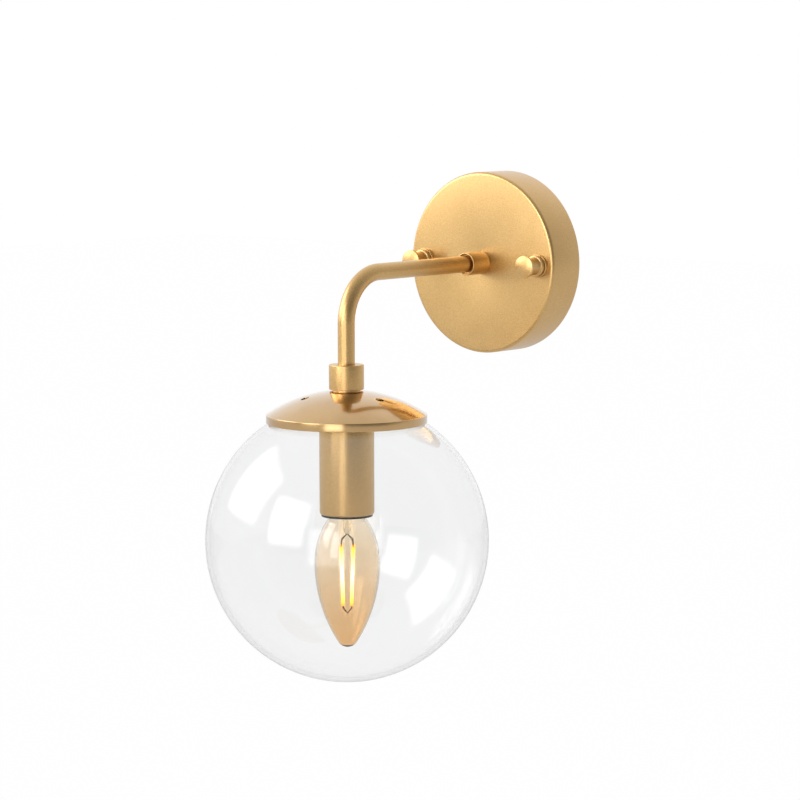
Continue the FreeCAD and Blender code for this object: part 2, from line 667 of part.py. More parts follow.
def each_pole():
    """Name, place across and screw levels of each pole of the terminal block."""
    for side, sign in SIDES:
        low = "(block_centre_height - pole_screw_spacing / 2)"
        high = "(block_centre_height + pole_screw_spacing / 2)"
        yield side, sign + "pole_spacing / 2", (("low", low), ("high", high))


def terminal_block():
    """Moulded block with a channel for each pole and wells for its screws."""
    width = ("-block_width / 2", "block_width / 2")
    base = block("block_body", width, (BLOCK_FRONT, BAR_FRONT), (BLOCK_FOOT, BLOCK_HEAD))
    well = "pole_screw_head_radius + well_gap"
    depth = "block_depth - pole_standoff"
    tools = []
    for side, across, levels in each_pole():
        bore = "pole_tube_radius + thread_clearance"
        name = "block_channel_" + side
        tools.append(rod(name, bore, "block_height", across, POLE_AXIS, BLOCK_FOOT, "Z"))
        for level, up in levels:
            name = "block_well_%s_%s" % (side, level)
            tools.append(rod(name, well, depth, across, BLOCK_FRONT, up, "Y"))
    centre = "block_centre_height"
    hole = "block_screw_radius + hole_clearance"
    head = "block_screw_head_radius + well_gap"
    tools.append(rod("block_hole", hole, "block_depth", "0", BLOCK_FRONT, centre, "Y"))
    tools.append(rod("block_head_well", head, "block_screw_seat", "0", BLOCK_FRONT, centre, "Y"))
    return cut("terminal_block", base, tools)


def terminal_tubes():
    """The two brass tubes that join a lead to the supply."""
    pieces = []
    for side, across, levels in each_pole():
        name = "pole_tube_" + side
        length = "pole_tube_length"
        outer = rod(name + "_outer", "pole_tube_radius", length, across, POLE_AXIS, POLE_FOOT, "Z")
        tools = [rod(name + "_bore", "pole_tube_bore", length, across, POLE_AXIS, POLE_FOOT, "Z")]
        for level, up in levels:
            hole = "pole_screw_radius + thread_clearance"
            place = (across, POLE_AXIS, up, "-Y")
            tools.append(rod("%s_%s_hole" % (name, level), hole, "pole_tube_radius", *place))
        pieces.append(cut(name, outer, tools))
    return group("terminal_tubes", pieces)


def terminal_screws():
    """The four screws that clamp the wires in the brass tubes."""
    head = ("pole_screw_head_radius", "pole_screw_head_height")
    length = "pole_tube_radius + well_gap - wire_core_radius - thread_clearance"
    pieces = []
    for side, across, levels in each_pole():
        for level, up in levels:
            name = "pole_screw_%s_%s" % (side, level)
            shank = ("pole_screw_radius", length)
            pieces.append(screw(name, head, shank, across, POLE_FACE, up, "Y"))
    return group("terminal_screws", pieces)


def block_screw():
    """The screw that fixes the terminal block to the upper ear."""
    head = ("block_screw_head_radius", "block_screw_head_height")
    shank = ("block_screw_radius", "-%s - screw_setback" % BLOCK_SCREW_SEAT)
    return screw("block_screw", head, shank, "0", BLOCK_SCREW_SEAT, "block_centre_height", "Y")


BAR_TAG_FRONT = "(-bar_sheet - tag_sheet)"
EARTH_HEAD_SEAT = "(-bar_sheet - tag_sheet - earth_washer_sheet)"


def earth_washer():
    """Flat washer under the head of the earth screw."""
    place = ("0", BAR_TAG_FRONT, "-earth_screw_drop", "-Y")
    outer = rod("washer_disc", "earth_head_radius", "earth_washer_sheet", *place)
    bore = "earth_screw_radius + hole_clearance"
    return cut("earth_washer", outer, [rod("washer_bore", bore, "earth_washer_sheet", *place)])


def earth_screw():
    """The screw that clamps the ring tag to the lower ear."""
    head = ("earth_head_radius", "earth_head_height")
    shank = ("earth_screw_radius", "-%s - screw_setback" % EARTH_HEAD_SEAT)
    return screw("earth_screw", head, shank, "0", EARTH_HEAD_SEAT, "-earth_screw_drop", "Y")


def ring_tag(name, radius, bore, back, centre, barrel_axis):
    """A flat ring with a crimped barrel hanging from its lower edge."""
    disc = rod(name + "_disc", radius, "tag_sheet", "0", back, centre, "-Y")
    hole = rod(name + "_hole", bore, "tag_sheet", "0", back, centre, "-Y")
    foot = "%s - %s + tag_overlap - tag_barrel_length" % (centre, radius)
    place = ("0", barrel_axis, foot, "Z")
    barrel = rod(name + "_barrel", "tag_barrel_radius", "tag_barrel_length", *place)
    return joined(name, [cut(name + "_ring", disc, [hole]), barrel])


ARM_BARREL_AXIS = "(%s + tag_barrel_radius + tag_barrel_lift)" % WASHER_BACK
BAR_BARREL_AXIS = "(-bar_sheet - tag_barrel_radius - tag_barrel_lift)"


def earth_tags():
    """Ring tag on the arm's nipple and ring tag under the earth screw."""
    arm_bore = "nipple_radius + hole_clearance"
    bar_bore = "earth_screw_radius + hole_clearance"
    arm = ring_tag("arm_tag", "arm_tag_radius", arm_bore, ARM_TAG_BACK, "0", ARM_BARREL_AXIS)
    low = "-earth_screw_drop"
    bar = ring_tag("bar_tag", "earth_tag_radius", bar_bore, BAR_FRONT, low, BAR_BARREL_AXIS)
    return group("earth_tags", [arm, bar])


def earth_wire():
    """The loop of wire from the arm's tag down and back to the bracket's tag."""
    arm_end = "tag_overlap - arm_tag_radius - tag_barrel_length"
    bar_end = "tag_overlap - earth_screw_drop - earth_tag_radius - tag_barrel_length"
    points = [
        ("0", ARM_BARREL_AXIS, arm_end),
        ("0", ARM_BARREL_AXIS, "-earth_loop_drop"),
        ("0", BAR_BARREL_AXIS, "-earth_loop_drop"),
        ("0", BAR_BARREL_AXIS, bar_end),
    ]
    return bent_wire("earth_wire", points, ["earth_turn_radius"] * 2, "wire_radius")


LEAD_TOP = "(block_centre_height - pole_tube_length / 2 - well_gap)"
POST_TOP = "(%s + post_height)" % CORE_TOP
FAN_TOP = "(%s - holder_thread_depth - wire_fan_start)" % HOLDER_TOP


def lead(name, sign):
    """One insulated lead from the terminal block through the arm to the lampholder."""
    pole = sign + "pole_spacing / 2"
    beside = sign + "wire_spacing / 2"
    post = sign + "post_spacing / 2"
    points = [
        (pole, POLE_AXIS, LEAD_TOP),
        (pole, POLE_AXIS, LEAD_TOP + " - wire_lead_in"),
        (beside, POLE_AXIS, "0"),
        (beside, DROP_AXIS, "0"),
        (beside, DROP_AXIS, FAN_TOP),
        (post, DROP_AXIS, POST_TOP + " + wire_fan_end"),
        (post, DROP_AXIS, POST_TOP + " + well_gap"),
    ]
    bends = ["wire_entry_turn_radius", "wire_turn_radius", "bend_radius"]
    bends += ["wire_fan_radius", "wire_fan_radius"]
    cores = ("wire_core_length", "wire_core_foot")
    return bent_wire(name, points, bends, "wire_radius", "wire_core_radius", cores)


# The canopy, its two knob nuts and the arm.


def canopy():
    """Drawn cup with a rounded front edge."""
    bend = "canopy_edge_round - canopy_sheet"
    inside = "canopy_radius - canopy_sheet"
    hole = "nipple_radius + hole_clearance"
    corners = [(hole, FACE)]
    corners += soft("canopy_radius", FACE, "canopy_edge_round", OUT, UP)
    corners += [("canopy_radius", "0"), (inside, "0")]
    corners += soft(inside, FACE_INSIDE, bend, DOWN, IN)
    corners += [(hole, FACE_INSIDE)]
    body = turned("canopy", "Y", corners)

    def holes(sketch):
        for _, sign in SIDES:
            draw_circle(sketch, sign + "stud_spacing / 2", "0", "stud_radius + hole_clearance")

    cut_through(body, "canopy_stud_holes", "XZ_Plane", holes)
    return body


def knob_washer(side, sign):
    """Thin turned washer between the canopy and a knob nut."""
    bore = "stud_radius + hole_clearance"
    front = "-canopy_depth - knob_washer_height"
    corners = [(bore, FACE), ("knob_washer_radius", FACE)]
    corners += soft("knob_washer_radius", front, "washer_round", DOWN, IN)
    corners += [(bore, front)]
    return turned("knob_washer_" + side, "Y", corners, sign + "stud_spacing / 2")


def knob_nut(side, sign):
    """Turned nut: groove, bead, neck and a low domed head over a blind tapped hole."""
    start = "-canopy_depth - knob_washer_height"
    bead = start + " - knob_groove_height"
    neck = bead + " - knob_bead_height"
    head = neck + " - knob_neck_length"
    dome = head + " - knob_head_rim"
    top = dome + " - knob_head_rise"
    bore = "stud_radius + thread_clearance"
    bore_end = "-bar_standoff - stud_length - knob_bore_spare"
    edge = "knob_edge_round"
    corners = [(bore, start), ("knob_groove_radius", start), ("knob_groove_radius", bead)]
    corners += soft("knob_bead_radius", bead, edge, OUT, DOWN)
    corners += soft("knob_bead_radius", neck, edge, DOWN, IN)
    corners += soft("knob_neck_radius", neck, "knob_cove", IN, DOWN)
    corners += soft("knob_neck_radius", head, "knob_cove", DOWN, OUT)
    corners += soft("knob_head_radius", head, edge, OUT, DOWN)
    corners += [("knob_head_radius", dome)]
    corners += [("0", top, cap_arc("knob_head_rise", "knob_head_radius"), -1)]
    corners += [("0", bore_end), (bore, bore_end)]
    return turned("knob_nut_" + side, "Y", corners, sign + "stud_spacing / 2")


def arm_nipple():
    """M10 nipple through the middle of the canopy."""
    outline = tube_outline("nipple_bore", "nipple_radius", TUBE_BACK, NIPPLE_BACK)
    return turned("arm_nipple", "Y", outline)


def toothed_washer(name, axis, low, high, y="0"):
    """Lock washer with notches round its edge."""
    outline = tube_outline("nipple_radius + hole_clearance", "toothed_washer_radius", low, high)
    body = turned(name, axis, outline, "0", y)
    plane, line = {"Y": ("XZ_Plane", "Y_Axis"), "Z": ("XY_Plane", "Z_Axis")}[axis]

    def notch(sketch):
        draw_circle(sketch, "toothed_washer_radius", "0", "washer_tooth_radius")

    cutter = cut_through(body, name + "_notch", plane, notch)
    spread_round(body, cutter, name + "_notches", line, "washer_tooth_count")
    return body


def arm_lock_nut():
    """Hexagon nut that pulls the arm against the canopy."""
    bore = "nipple_radius + thread_clearance"
    nut = ("arm_lock_nut", "lock_nut_flats", "lock_nut_height", bore)
    return lock_nut(*nut, "0", ARM_TAG_BACK, "0", "Y")


def arm_collar():
    """Ferrule on the canopy: tapped end, seat for the tube and a wider mouth."""
    tapped = "nipple_radius + thread_clearance"
    seat = "tube_radius + thread_clearance"
    mouth = "%s + arm_collar_mouth_depth" % COLLAR_MOUTH
    corners = [(tapped, TUBE_BACK), (tapped, FACE), ("arm_collar_radius", FACE)]
    corners += soft("arm_collar_radius", COLLAR_MOUTH, "collar_edge_round", DOWN, IN)
    corners += [("arm_collar_mouth_radius", COLLAR_MOUTH), ("arm_collar_mouth_radius", mouth)]
    corners += [(seat, mouth), (seat, TUBE_BACK)]
    return turned("arm_collar", "Y", corners)


def bent_bar(name, radius):
    """The arm's path as a solid bar: forward, a quarter bend, then down."""
    bend_start = "bend_radius - arm_reach"
    run = "arm_reach - bend_radius + %s" % TUBE_BACK
    fall = "-bend_radius - %s" % TUBE_FOOT
    forward = rod(name + "_forward", radius, run, "0", TUBE_BACK, "0", "-Y")
    down = rod(name + "_down", radius, fall, "0", DROP_AXIS, TUBE_FOOT, "Z")
    bend = doc.addObject("Part::Torus", name + "_bend")
    bend.Angle3 = 90
    bend.setExpression("Radius1", bound("bend_radius"))
    bend.setExpression("Radius2", bound(radius))
    rotation = FreeCAD.Rotation(Vector(0, 0, 1), Vector(0, -1, 0), Vector(1, 0, 0), "XYZ")
    bend.Placement = FreeCAD.Placement(Vector(0, 0, 0), rotation)
    bend.setExpression("Placement.Base.y", bound(bend_start))
    bend.setExpression("Placement.Base.z", bound("-bend_radius"))
    return joined(name, [forward, bend, down])


def arm_tube():
    """Steel tube bent a quarter turn."""
    outer = bent_bar("tube_outer", "tube_radius")
    inner = bent_bar("tube_inner", "tube_radius - tube_wall")
    return cut("arm_tube", outer, [inner])


# The drop side: everything below turns about the drop axis.


def hung(name, corners):
    """A piece turned about the drop axis."""
    return turned(name, "Z", corners, "0", DROP_AXIS)


def drop_collar():
    """Turned coupling with a seat for the tube and a narrow spigot at its foot."""
    seat = "tube_radius + thread_clearance"
    tapped = "nipple_radius + thread_clearance"
    edge = "collar_edge_round"
    shelf = "-cap_seat_drop + spigot_height"
    corners = [(tapped, SEAT), ("spigot_radius", SEAT), ("spigot_radius", shelf)]
    corners += soft("drop_collar_radius", shelf, edge, OUT, UP)
    corners += soft("drop_collar_radius", COLLAR_TOP, edge, UP, IN)
    corners += [(seat, COLLAR_TOP), (seat, TUBE_FOOT), (tapped, TUBE_FOOT)]
    return hung("drop_collar", corners)


def drop_nipple():
    """M10 nipple that holds the whole drop together."""
    foot = "%s - drop_nipple_length" % TUBE_FOOT
    return hung("drop_nipple", tube_outline("nipple_bore", "nipple_radius", foot, TUBE_FOOT))


def cap_dome():
    """Spun dome with a flat seat, a small step and an upright rim."""
    hole = "nipple_radius + hole_clearance"
    step = "%s - cap_shoulder" % RIM_TOP
    inside_top = "%s - cap_sheet * cos(asin(cap_radius / cap_dome_radius))" % RIM_TOP
    corners = [(hole, SEAT_UNDER), (hole, SEAT), ("cap_seat_radius", SEAT)]
    corners += [("cap_radius - cap_shoulder", RIM_TOP, "cap_dome_radius", -1)]
    corners += [("cap_radius", step, "cap_shoulder", -1), ("cap_radius", RIM_FOOT)]
    corners += [(CAP_INSIDE_RADIUS, RIM_FOOT), (CAP_INSIDE_RADIUS, inside_top)]
    corners += [("cap_seat_radius", SEAT_UNDER, "cap_dome_radius - cap_sheet", 1)]
    body = hung("cap_dome", corners)

    def vent(sketch):
        draw_circle(sketch, "vent_ring_radius", "0", "vent_hole_radius")

    cutter = cut_through(body, "cap_vent", "XY_Plane", vent)
    spread_round(body, cutter, "cap_vents", "Z_Axis", "vent_count")
    return body


def cap_lock_nut():
    """Hexagon nut under the dome."""
    bore = "nipple_radius + thread_clearance"
    nut = ("cap_lock_nut", "lock_nut_flats", "lock_nut_height", bore)
    return lock_nut(*nut, "0", DROP_AXIS, PLATE_TOP, "Z")


def clip_angles():
    """The clips stand evenly round the drop axis, one of them on the left."""
    count = int(value("clip_count"))
    return [60 + 360 / count * index for index in range(count)]


def clip_plate():
    """Disc that carries the three clips."""
    hole = "nipple_radius + hole_clearance"
    body = hung("clip_plate", tube_outline(hole, "clip_plate_radius", PLATE_UNDER, PLATE_TOP))

    def holes(sketch):
        for angle in clip_angles():
            across = "rivet_ring_radius * cos(%g)" % angle
            up = "rivet_ring_radius * sin(%g)" % angle
            draw_circle(sketch, across, up, "rivet_radius + thread_clearance")

    cut_through(body, "plate_rivet_holes", "XY_Plane", holes)
    return body


def globe_clip(name, angle):
    """Spring strip: flat under the plate, slope, upright leg and a hook under the glass."""
    root = "sleeve_radius + clip_root_gap"
    leg = "(globe_mouth_radius - clip_mouth_gap)"
    leg_inside = "(globe_mouth_radius - clip_mouth_gap - clip_sheet)"
    knee = "%s - clip_slope_drop" % PLATE_UNDER
    slope = "clip_slope_drop * (%s - clip_flat_end) / (%s - clip_flat_end)" % (leg_inside, leg)
    knee_inside = "%s - clip_sheet - %s" % (PLATE_UNDER, slope)
    inner_glass = "sqrt((globe_radius - globe_wall) ^ 2 - globe_mouth_radius ^ 2)"
    hook = "%s + %s - clip_hook_gap" % (GLOBE_CENTRE, inner_glass)
    hook_inside = hook + " - clip_sheet + clip_sheet * clip_hook_fall / clip_hook_reach"
    hook_end = leg + " + clip_hook_reach"
    corners = [(root, PLATE_UNDER), (root, PLATE_UNDER + " - clip_sheet")]
    corners += [("clip_flat_end", PLATE_UNDER + " - clip_sheet"), (leg_inside, knee_inside)]
    corners += [(leg_inside, hook_inside), (hook_end, hook + " - clip_hook_fall - clip_sheet")]
    corners += [(hook_end, hook + " - clip_hook_fall"), (leg, hook), (leg, knee)]
    corners += [("clip_flat_end", PLATE_UNDER)]
    body = new_body(name)
    body.Placement = FreeCAD.Placement(Vector(0, 0, 0), FreeCAD.Rotation(Vector(0, 0, 1), angle))
    body.setExpression("Placement.Base.y", bound(DROP_AXIS))
    extruded(body, name + "_strip", "XZ_Plane", corners, "clip_width")

    def hole(sketch):
        draw_circle(sketch, "rivet_ring_radius", "0", "rivet_radius + thread_clearance")

    cut_through(body, name + "_hole", "XY_Plane", hole)
    return body


def globe_clips():
    """Three spring clips that hook under the mouth of the glass."""
    names = ["globe_clip_%d" % number for number in range(1, len(clip_angles()) + 1)]
    return group("globe_clips", [globe_clip(*pair) for pair in zip(names, clip_angles())])


def clip_rivets():
    """Rivets through the plate and the clips."""
    foot = "(%s - clip_sheet)" % PLATE_UNDER
    pieces = []
    for number, angle in enumerate(clip_angles(), start=1):
        name = "clip_rivet_%d" % number
        x = "rivet_ring_radius * cos(%g)" % angle
        y = "rivet_ring_radius * sin(%g) - arm_reach" % angle
        shank = rod(name + "_shank", "rivet_radius", "clip_plate_sheet + clip_sheet", x, y, foot, "Z")
        under = foot + " - rivet_head_height"
        low = rod(name + "_low", "rivet_head_radius", "rivet_head_height", x, y, under, "Z")
        high = rod(name + "_high", "rivet_head_radius", "rivet_head_height", x, y, PLATE_TOP, "Z")
        pieces.append(joined(name, [low, shank, high]))
    return group("clip_rivets", pieces)


def lampholder_sleeve():
    """Brass sleeve with a closed top and its lower edge rolled in."""
    hole = "nipple_radius + hole_clearance"
    inside = "sleeve_radius - sleeve_wall"
    lip = "sleeve_radius - sleeve_edge_round"
    roll = "%s + sleeve_edge_round" % SLEEVE_FOOT
    corners = [(lip, roll), (lip, SLEEVE_FOOT)]
    corners += soft("sleeve_radius", SLEEVE_FOOT, "sleeve_edge_round", OUT, UP)[1:]
    corners += soft("sleeve_radius", PLATE_UNDER, "sleeve_top_round", UP, IN)
    corners += [(hole, PLATE_UNDER), (hole, HOLDER_TOP), (inside, HOLDER_TOP), (inside, roll)]
    return hung("lampholder_sleeve", corners)


def holder_cap():
    """Upper half of the lampholder, tapped on top for the nipple."""
    tapped = "nipple_radius + thread_clearance"
    room = "%s - holder_thread_depth" % HOLDER_TOP
    inside = "holder_cap_radius - holder_cap_wall"
    corners = [(tapped, room), (inside, room), (inside, HOLDER_SPLIT)]
    corners += [("holder_cap_radius", HOLDER_SPLIT)]
    corners += soft("holder_cap_radius", HOLDER_TOP, "holder_cap_round", UP, IN)
    corners += [(tapped, HOLDER_TOP)]
    return hung("holder_cap", corners)


def holder_skirt():
    """Lower half of the lampholder: outer wall, black lip and the tube round the shell."""
    inside = "skirt_radius - skirt_wall"
    bore = "shell_bore + shell_wall + thread_clearance"
    tube = bore + " + skirt_inner_wall"
    floor = "%s + skirt_web" % MOUTH_TOP
    corners = [(inside, floor), (inside, HOLDER_SPLIT), ("skirt_radius", HOLDER_SPLIT)]
    corners += [("skirt_radius", SLEEVE_FOOT), ("skirt_lip_radius", SLEEVE_FOOT)]
    corners += [("skirt_lip_radius", LIP_FOOT), ("skirt_mouth_radius", LIP_FOOT)]
    corners += [("skirt_mouth_radius", MOUTH_TOP), (bore, MOUTH_TOP), (bore, CORE_FOOT)]
    corners += [(tube, CORE_FOOT), (tube, floor)]
    return hung("holder_skirt", corners)


def holder_core():
    """Insulating core with a hollow below and a slot for each contact strip."""
    radius = "skirt_radius - skirt_wall - core_gap"
    hollow = "%s + core_recess_depth" % CORE_FOOT
    corners = [("0", hollow), ("core_recess_radius", hollow), ("core_recess_radius", CORE_FOOT)]
    corners += [(radius, CORE_FOOT), (radius, CORE_TOP), ("0", CORE_TOP)]
    body = hung("holder_core", corners)

    def slots(sketch):
        half = "contact_width / 2 + slot_play"
        left = "contact_stem_offset - contact_sheet - slot_play"
        draw_box(sketch, left, "contact_stem_offset + slot_play", "-(%s)" % half, half)
        right = "shell_wall + slot_play - shell_tab_offset"
        draw_box(sketch, "-shell_tab_offset - slot_play", right, "-(%s)" % half, half)

    cut_through(body, "core_slots", "XY_Plane", slots)
    return body


def screw_shell():
    """Screw shell of the lampholder with the strip up to its terminal."""
    top = "%s - shell_drop" % CORE_FOOT
    foot = "%s + slot_play" % MOUTH_TOP
    height = "(%s) - (%s)" % (top, foot)
    outer = rod("shell_outer", "shell_bore + shell_wall", height, "0", DROP_AXIS, foot, "Z")
    inner = rod("shell_inner", "shell_bore", height, "0", DROP_AXIS, foot, "Z")
    across = ("-shell_tab_offset", "shell_wall - shell_tab_offset")
    along = ("-arm_reach - contact_width / 2", "contact_width / 2 - arm_reach")
    upright = (top + " - shell_drop", CORE_TOP + " - thread_clearance")
    tab = block("shell_tab", across, along, upright)
    return joined("screw_shell", [cut("shell_tube", outer, [inner]), tab])


def centre_contact():
    """Springy strip that presses on the tip of the bulb."""
    stem = "contact_stem_offset"
    stem_top = "%s - contact_stem_top_gap" % CORE_TOP
    upper = "%s + contact_sheet" % CONTACT_UNDER
    corners = [("-contact_reach", CONTACT_UNDER), (stem, CONTACT_UNDER), (stem, stem_top)]
    corners += [(stem + " - contact_sheet", stem_top), (stem + " - contact_sheet", upper)]
    corners += [("-contact_reach", upper)]
    body = new_body("centre_contact", "0", DROP_AXIS)
    extruded(body, "contact_strip", "XZ_Plane", corners, "contact_width")
    return body


SCREW_LEVEL = "(%s - post_screw_depth)" % POST_TOP


def holder_terminals():
    """The two terminals on top of the core."""
    along = ("-arm_reach - post_depth / 2", "post_depth / 2 - arm_reach")
    pieces = []
    for side, sign in SIDES:
        centre = sign + "post_spacing / 2"
        name = "post_" + side
        across = (centre + " - post_width / 2", centre + " + post_width / 2")
        body = block(name + "_body", across, along, (CORE_TOP, POST_TOP))
        low = POST_TOP + " - post_hole_depth"
        hole = ("post_hole_radius", "post_hole_depth")
        wire_hole = rod(name + "_hole", *hole, centre, DROP_AXIS, low, "Z")
        tap = ("post_screw_radius + thread_clearance", "post_depth / 2")
        screw_hole = rod(name + "_tap", *tap, centre, along[0], SCREW_LEVEL, "Y")
        pieces.append(cut(name, body, [wire_hole, screw_hole]))
    return group("holder_terminals", pieces)


def holder_screws():
    """The screws that clamp the leads in the terminals."""
    head = ("post_screw_head_radius", "post_screw_head_height")
    shank = ("post_screw_radius", "post_depth / 2 - wire_core_radius - thread_clearance")
    face = "-arm_reach - post_depth / 2"
    pieces = []
    for side, sign in SIDES:
        centre = sign + "post_spacing / 2"
        pieces.append(screw("post_screw_" + side, head, shank, centre, face, SCREW_LEVEL, "Y"))
    return group("holder_screws", pieces)


def glass_globe():
    """Blown glass ball with a round opening on top."""
    inside = "(globe_radius - globe_wall)"
    mouth = "globe_mouth_radius"
    outer_edge = "%s + sqrt(globe_radius ^ 2 - globe_mouth_radius ^ 2)" % GLOBE_CENTRE
    inner_edge = "%s + sqrt(%s ^ 2 - globe_mouth_radius ^ 2)" % (GLOBE_CENTRE, inside)
    corners = [(mouth, outer_edge), ("globe_radius", GLOBE_CENTRE, "globe_radius", -1)]
    corners += [("0", GLOBE_CENTRE + " - globe_radius", "globe_radius", -1)]
    corners += [("0", "%s - %s" % (GLOBE_CENTRE, inside))]
    corners += [(inside, GLOBE_CENTRE, inside, 1), (mouth, inner_edge, inside, 1)]
    return hung("glass_globe", corners)


# The bulb.

TIP_FOOT = "(%s - bulb_tip_height)" % BULB_TOP
INSULATOR_SHOULDER = "(%s - bulb_tip_height - insulator_slope)" % BULB_TOP
FLARE_TOP = "(%s + bulb_flare_height)" % BULB_BASE_FOOT
THREAD_FOOT = "(%s + bulb_flare_height + bulb_flare_slope)" % BULB_BASE_FOOT
STEM_TOP = "(%s + bulb_neck_inside)" % BULB_BASE_FOOT
STEM_FOOT = "(%s + bulb_neck_inside - stem_length)" % BULB_BASE_FOOT
FILAMENT_TOP = "(%s - filament_drop)" % BULB_BASE_FOOT
FILAMENT_FOOT = "(%s - filament_drop - filament_length)" % BULB_BASE_FOOT


def bulb_tip():
    """Solder tip at the top of the base."""
    edge = "%s - bulb_tip_dome" % BULB_TOP
    corners = [("0", TIP_FOOT), ("0", BULB_TOP)]
    corners += [("bulb_tip_radius", edge, cap_arc("bulb_tip_dome", "bulb_tip_radius"), -1)]
    corners += [("bulb_tip_radius", TIP_FOOT)]
    return hung("bulb_tip", corners)


def bulb_insulator():
    """Black insulator between the tip and the threaded base."""
    foot = "%s - insulator_height" % TIP_FOOT
    corners = [("0", foot), ("0", TIP_FOOT), ("bulb_tip_radius", TIP_FOOT)]
    corners += [("insulator_foot_radius", INSULATOR_SHOULDER), ("insulator_foot_radius", foot)]
    return hung("bulb_insulator", corners)


def bulb_cap():
    """Threaded metal base with a flared foot."""
    sheet = "bulb_base_sheet"
    top = "%s - bulb_base_sheet" % INSULATOR_SHOULDER
    collar = "insulator_foot_radius + thread_clearance"
    bevel = "bulb_thread_radius - bulb_base_sheet"
    corners = [(collar, top + " - " + sheet), (collar, top), (bevel, top)]
    corners += [("bulb_thread_radius", top + " - " + sheet), ("bulb_thread_radius", THREAD_FOOT)]
    corners += [("bulb_flare_radius", FLARE_TOP), ("bulb_flare_radius", BULB_BASE_FOOT)]
    corners += [("bulb_flare_radius - " + sheet, BULB_BASE_FOOT)]
    corners += [("bulb_flare_radius - " + sheet, FLARE_TOP), (bevel, THREAD_FOOT)]
    corners += [(bevel, top + " - " + sheet)]
    return hung("bulb_cap", corners)


def bulb_glass():
    """Candle-shaped glass, open inside the base."""
    wall = "bulb_glass_wall"
    neck = "bulb_neck_inside_radius"
    foot = "bulb_neck_radius"
    belly = "bulb_radius"
    nose = "bulb_nose_radius"
    upper_arc = tangent_radius("bulb_belly_drop", "bulb_radius - bulb_neck_radius")
    nose_level = "%s + bulb_nose_height" % BULB_NOSE
    lower_rise = "%s - (%s)" % (BELLY, nose_level)
    lower_arc = tangent_radius(lower_rise, "bulb_radius - bulb_nose_radius")
    corners = [(neck, STEM_TOP), (neck, THREAD_FOOT), (foot, BULB_BASE_FOOT)]
    corners += [(belly, BELLY, upper_arc, -1), (nose, nose_level, lower_arc, -1)]
    corners += [("0", BULB_NOSE, cap_arc("bulb_nose_height", nose), -1)]
    corners += [("0", BULB_NOSE + " + " + wall)]
    inner_nose = nose + " - " + wall
    corners += [(inner_nose, nose_level, cap_arc("bulb_nose_height - " + wall, inner_nose), 1)]
    corners += [(belly + " - " + wall, BELLY, lower_arc, 1)]
    corners += [(foot + " - " + wall, BULB_BASE_FOOT, upper_arc, 1)]
    corners += [(neck + " - " + wall, THREAD_FOOT), (neck + " - " + wall, STEM_TOP)]
    return hung("bulb_glass", corners)


def bulb_stem():
    """Glass stem that closes the neck and carries the support wires."""
    flare = "bulb_neck_inside_radius - bulb_glass_wall - stem_flare_gap"
    skirt = "%s - bulb_glass_wall" % STEM_TOP
    press = "%s + stem_press_height" % STEM_FOOT
    corners = [("0", STEM_FOOT), ("0", STEM_TOP), (flare, STEM_TOP), (flare, skirt)]
    corners += [("stem_radius", THREAD_FOOT), ("stem_radius", press)]
    corners += [("stem_radius / 2", STEM_FOOT)]
    return hung("bulb_stem", corners)


def filament_ends():
    """The top and the foot of each filament."""
    count = int(value("filament_count"))
    for index in range(count):
        angle = 85 + 360 / count * index
        ends = []
        top = ("filament_ring_radius", FILAMENT_TOP)
        foot = ("filament_foot_ring_radius", FILAMENT_FOOT)
        for ring, level in (top, foot):
            x = "%s * cos(%g)" % (ring, angle)
            y = "%s * sin(%g) - arm_reach" % (ring, angle)
            ends.append((x, y, level))
        yield ends


def bulb_filaments():
    """The straight filaments, a little closer together at the foot."""
    item = doc.addObject("Part::Feature", "bulb_filaments")
    item.Shape = Part.makeCompound([strut("filament_radius", *ends) for ends in filament_ends()])
    item.Placement = FreeCAD.Placement()
    return item


def bulb_wires():
    """The fan of wires over the filaments and the star of wires under them."""
    root = ("0", DROP_AXIS, STEM_FOOT + " - filament_wire_gap")
    hub = ("0", DROP_AXIS, FILAMENT_FOOT + " - filament_hub_drop")
    fan = []
    star = []
    for top, foot in filament_ends():
        over = (top[0], top[1], top[2] + " + filament_wire_gap")
        under = (foot[0], foot[1], foot[2] + " - filament_wire_gap")
        fan.append(strut("filament_wire_radius", root, over))
        star.append(strut("filament_wire_radius", under, hub))
    item = doc.addObject("Part::Feature", "bulb_wires")
    item.Shape = Part.makeCompound([fan[0].multiFuse(fan[1:]), star[0].multiFuse(star[1:])])
    item.Placement = FreeCAD.Placement()
    return item


NODES = [
    mounting_bracket(),
    canopy_studs(),
    stud_nuts(),
    terminal_block(),
    terminal_tubes(),
    terminal_screws(),
    block_screw(),
    earth_washer(),
    earth_screw(),
    earth_tags(),
    earth_wire(),
    lead("live_wire", "-"),
    lead("neutral_wire", ""),
    canopy(),
    knob_washer("left", "-"),
    knob_washer("right", ""),
    knob_nut("left", "-"),
    knob_nut("right", ""),
    arm_nipple(),
    toothed_washer("arm_star_washer", "Y", FACE_INSIDE, WASHER_BACK),
    arm_lock_nut(),
    arm_collar(),
    arm_tube(),
    drop_collar(),
    drop_nipple(),
    cap_dome(),
    toothed_washer("cap_star_washer", "Z", CAP_NUT_TOP, SEAT_UNDER, DROP_AXIS),
    cap_lock_nut(),
    clip_plate(),
    globe_clips(),
    clip_rivets(),
    lampholder_sleeve(),
    holder_cap(),
    holder_skirt(),
    holder_core(),
    screw_shell(),
    centre_contact(),
    holder_terminals(),
    holder_screws(),
    glass_globe(),
    bulb_tip(),
    bulb_insulator(),
    bulb_cap(),
    bulb_glass(),
    bulb_stem(),
    bulb_filaments(),
    bulb_wires(),
]

doc.recompute()

for item in doc.Objects:
    if "Invalid" in item.State or "Error" in item.State:
        raise RuntimeError("%s: %s" % (item.Name, item.State))

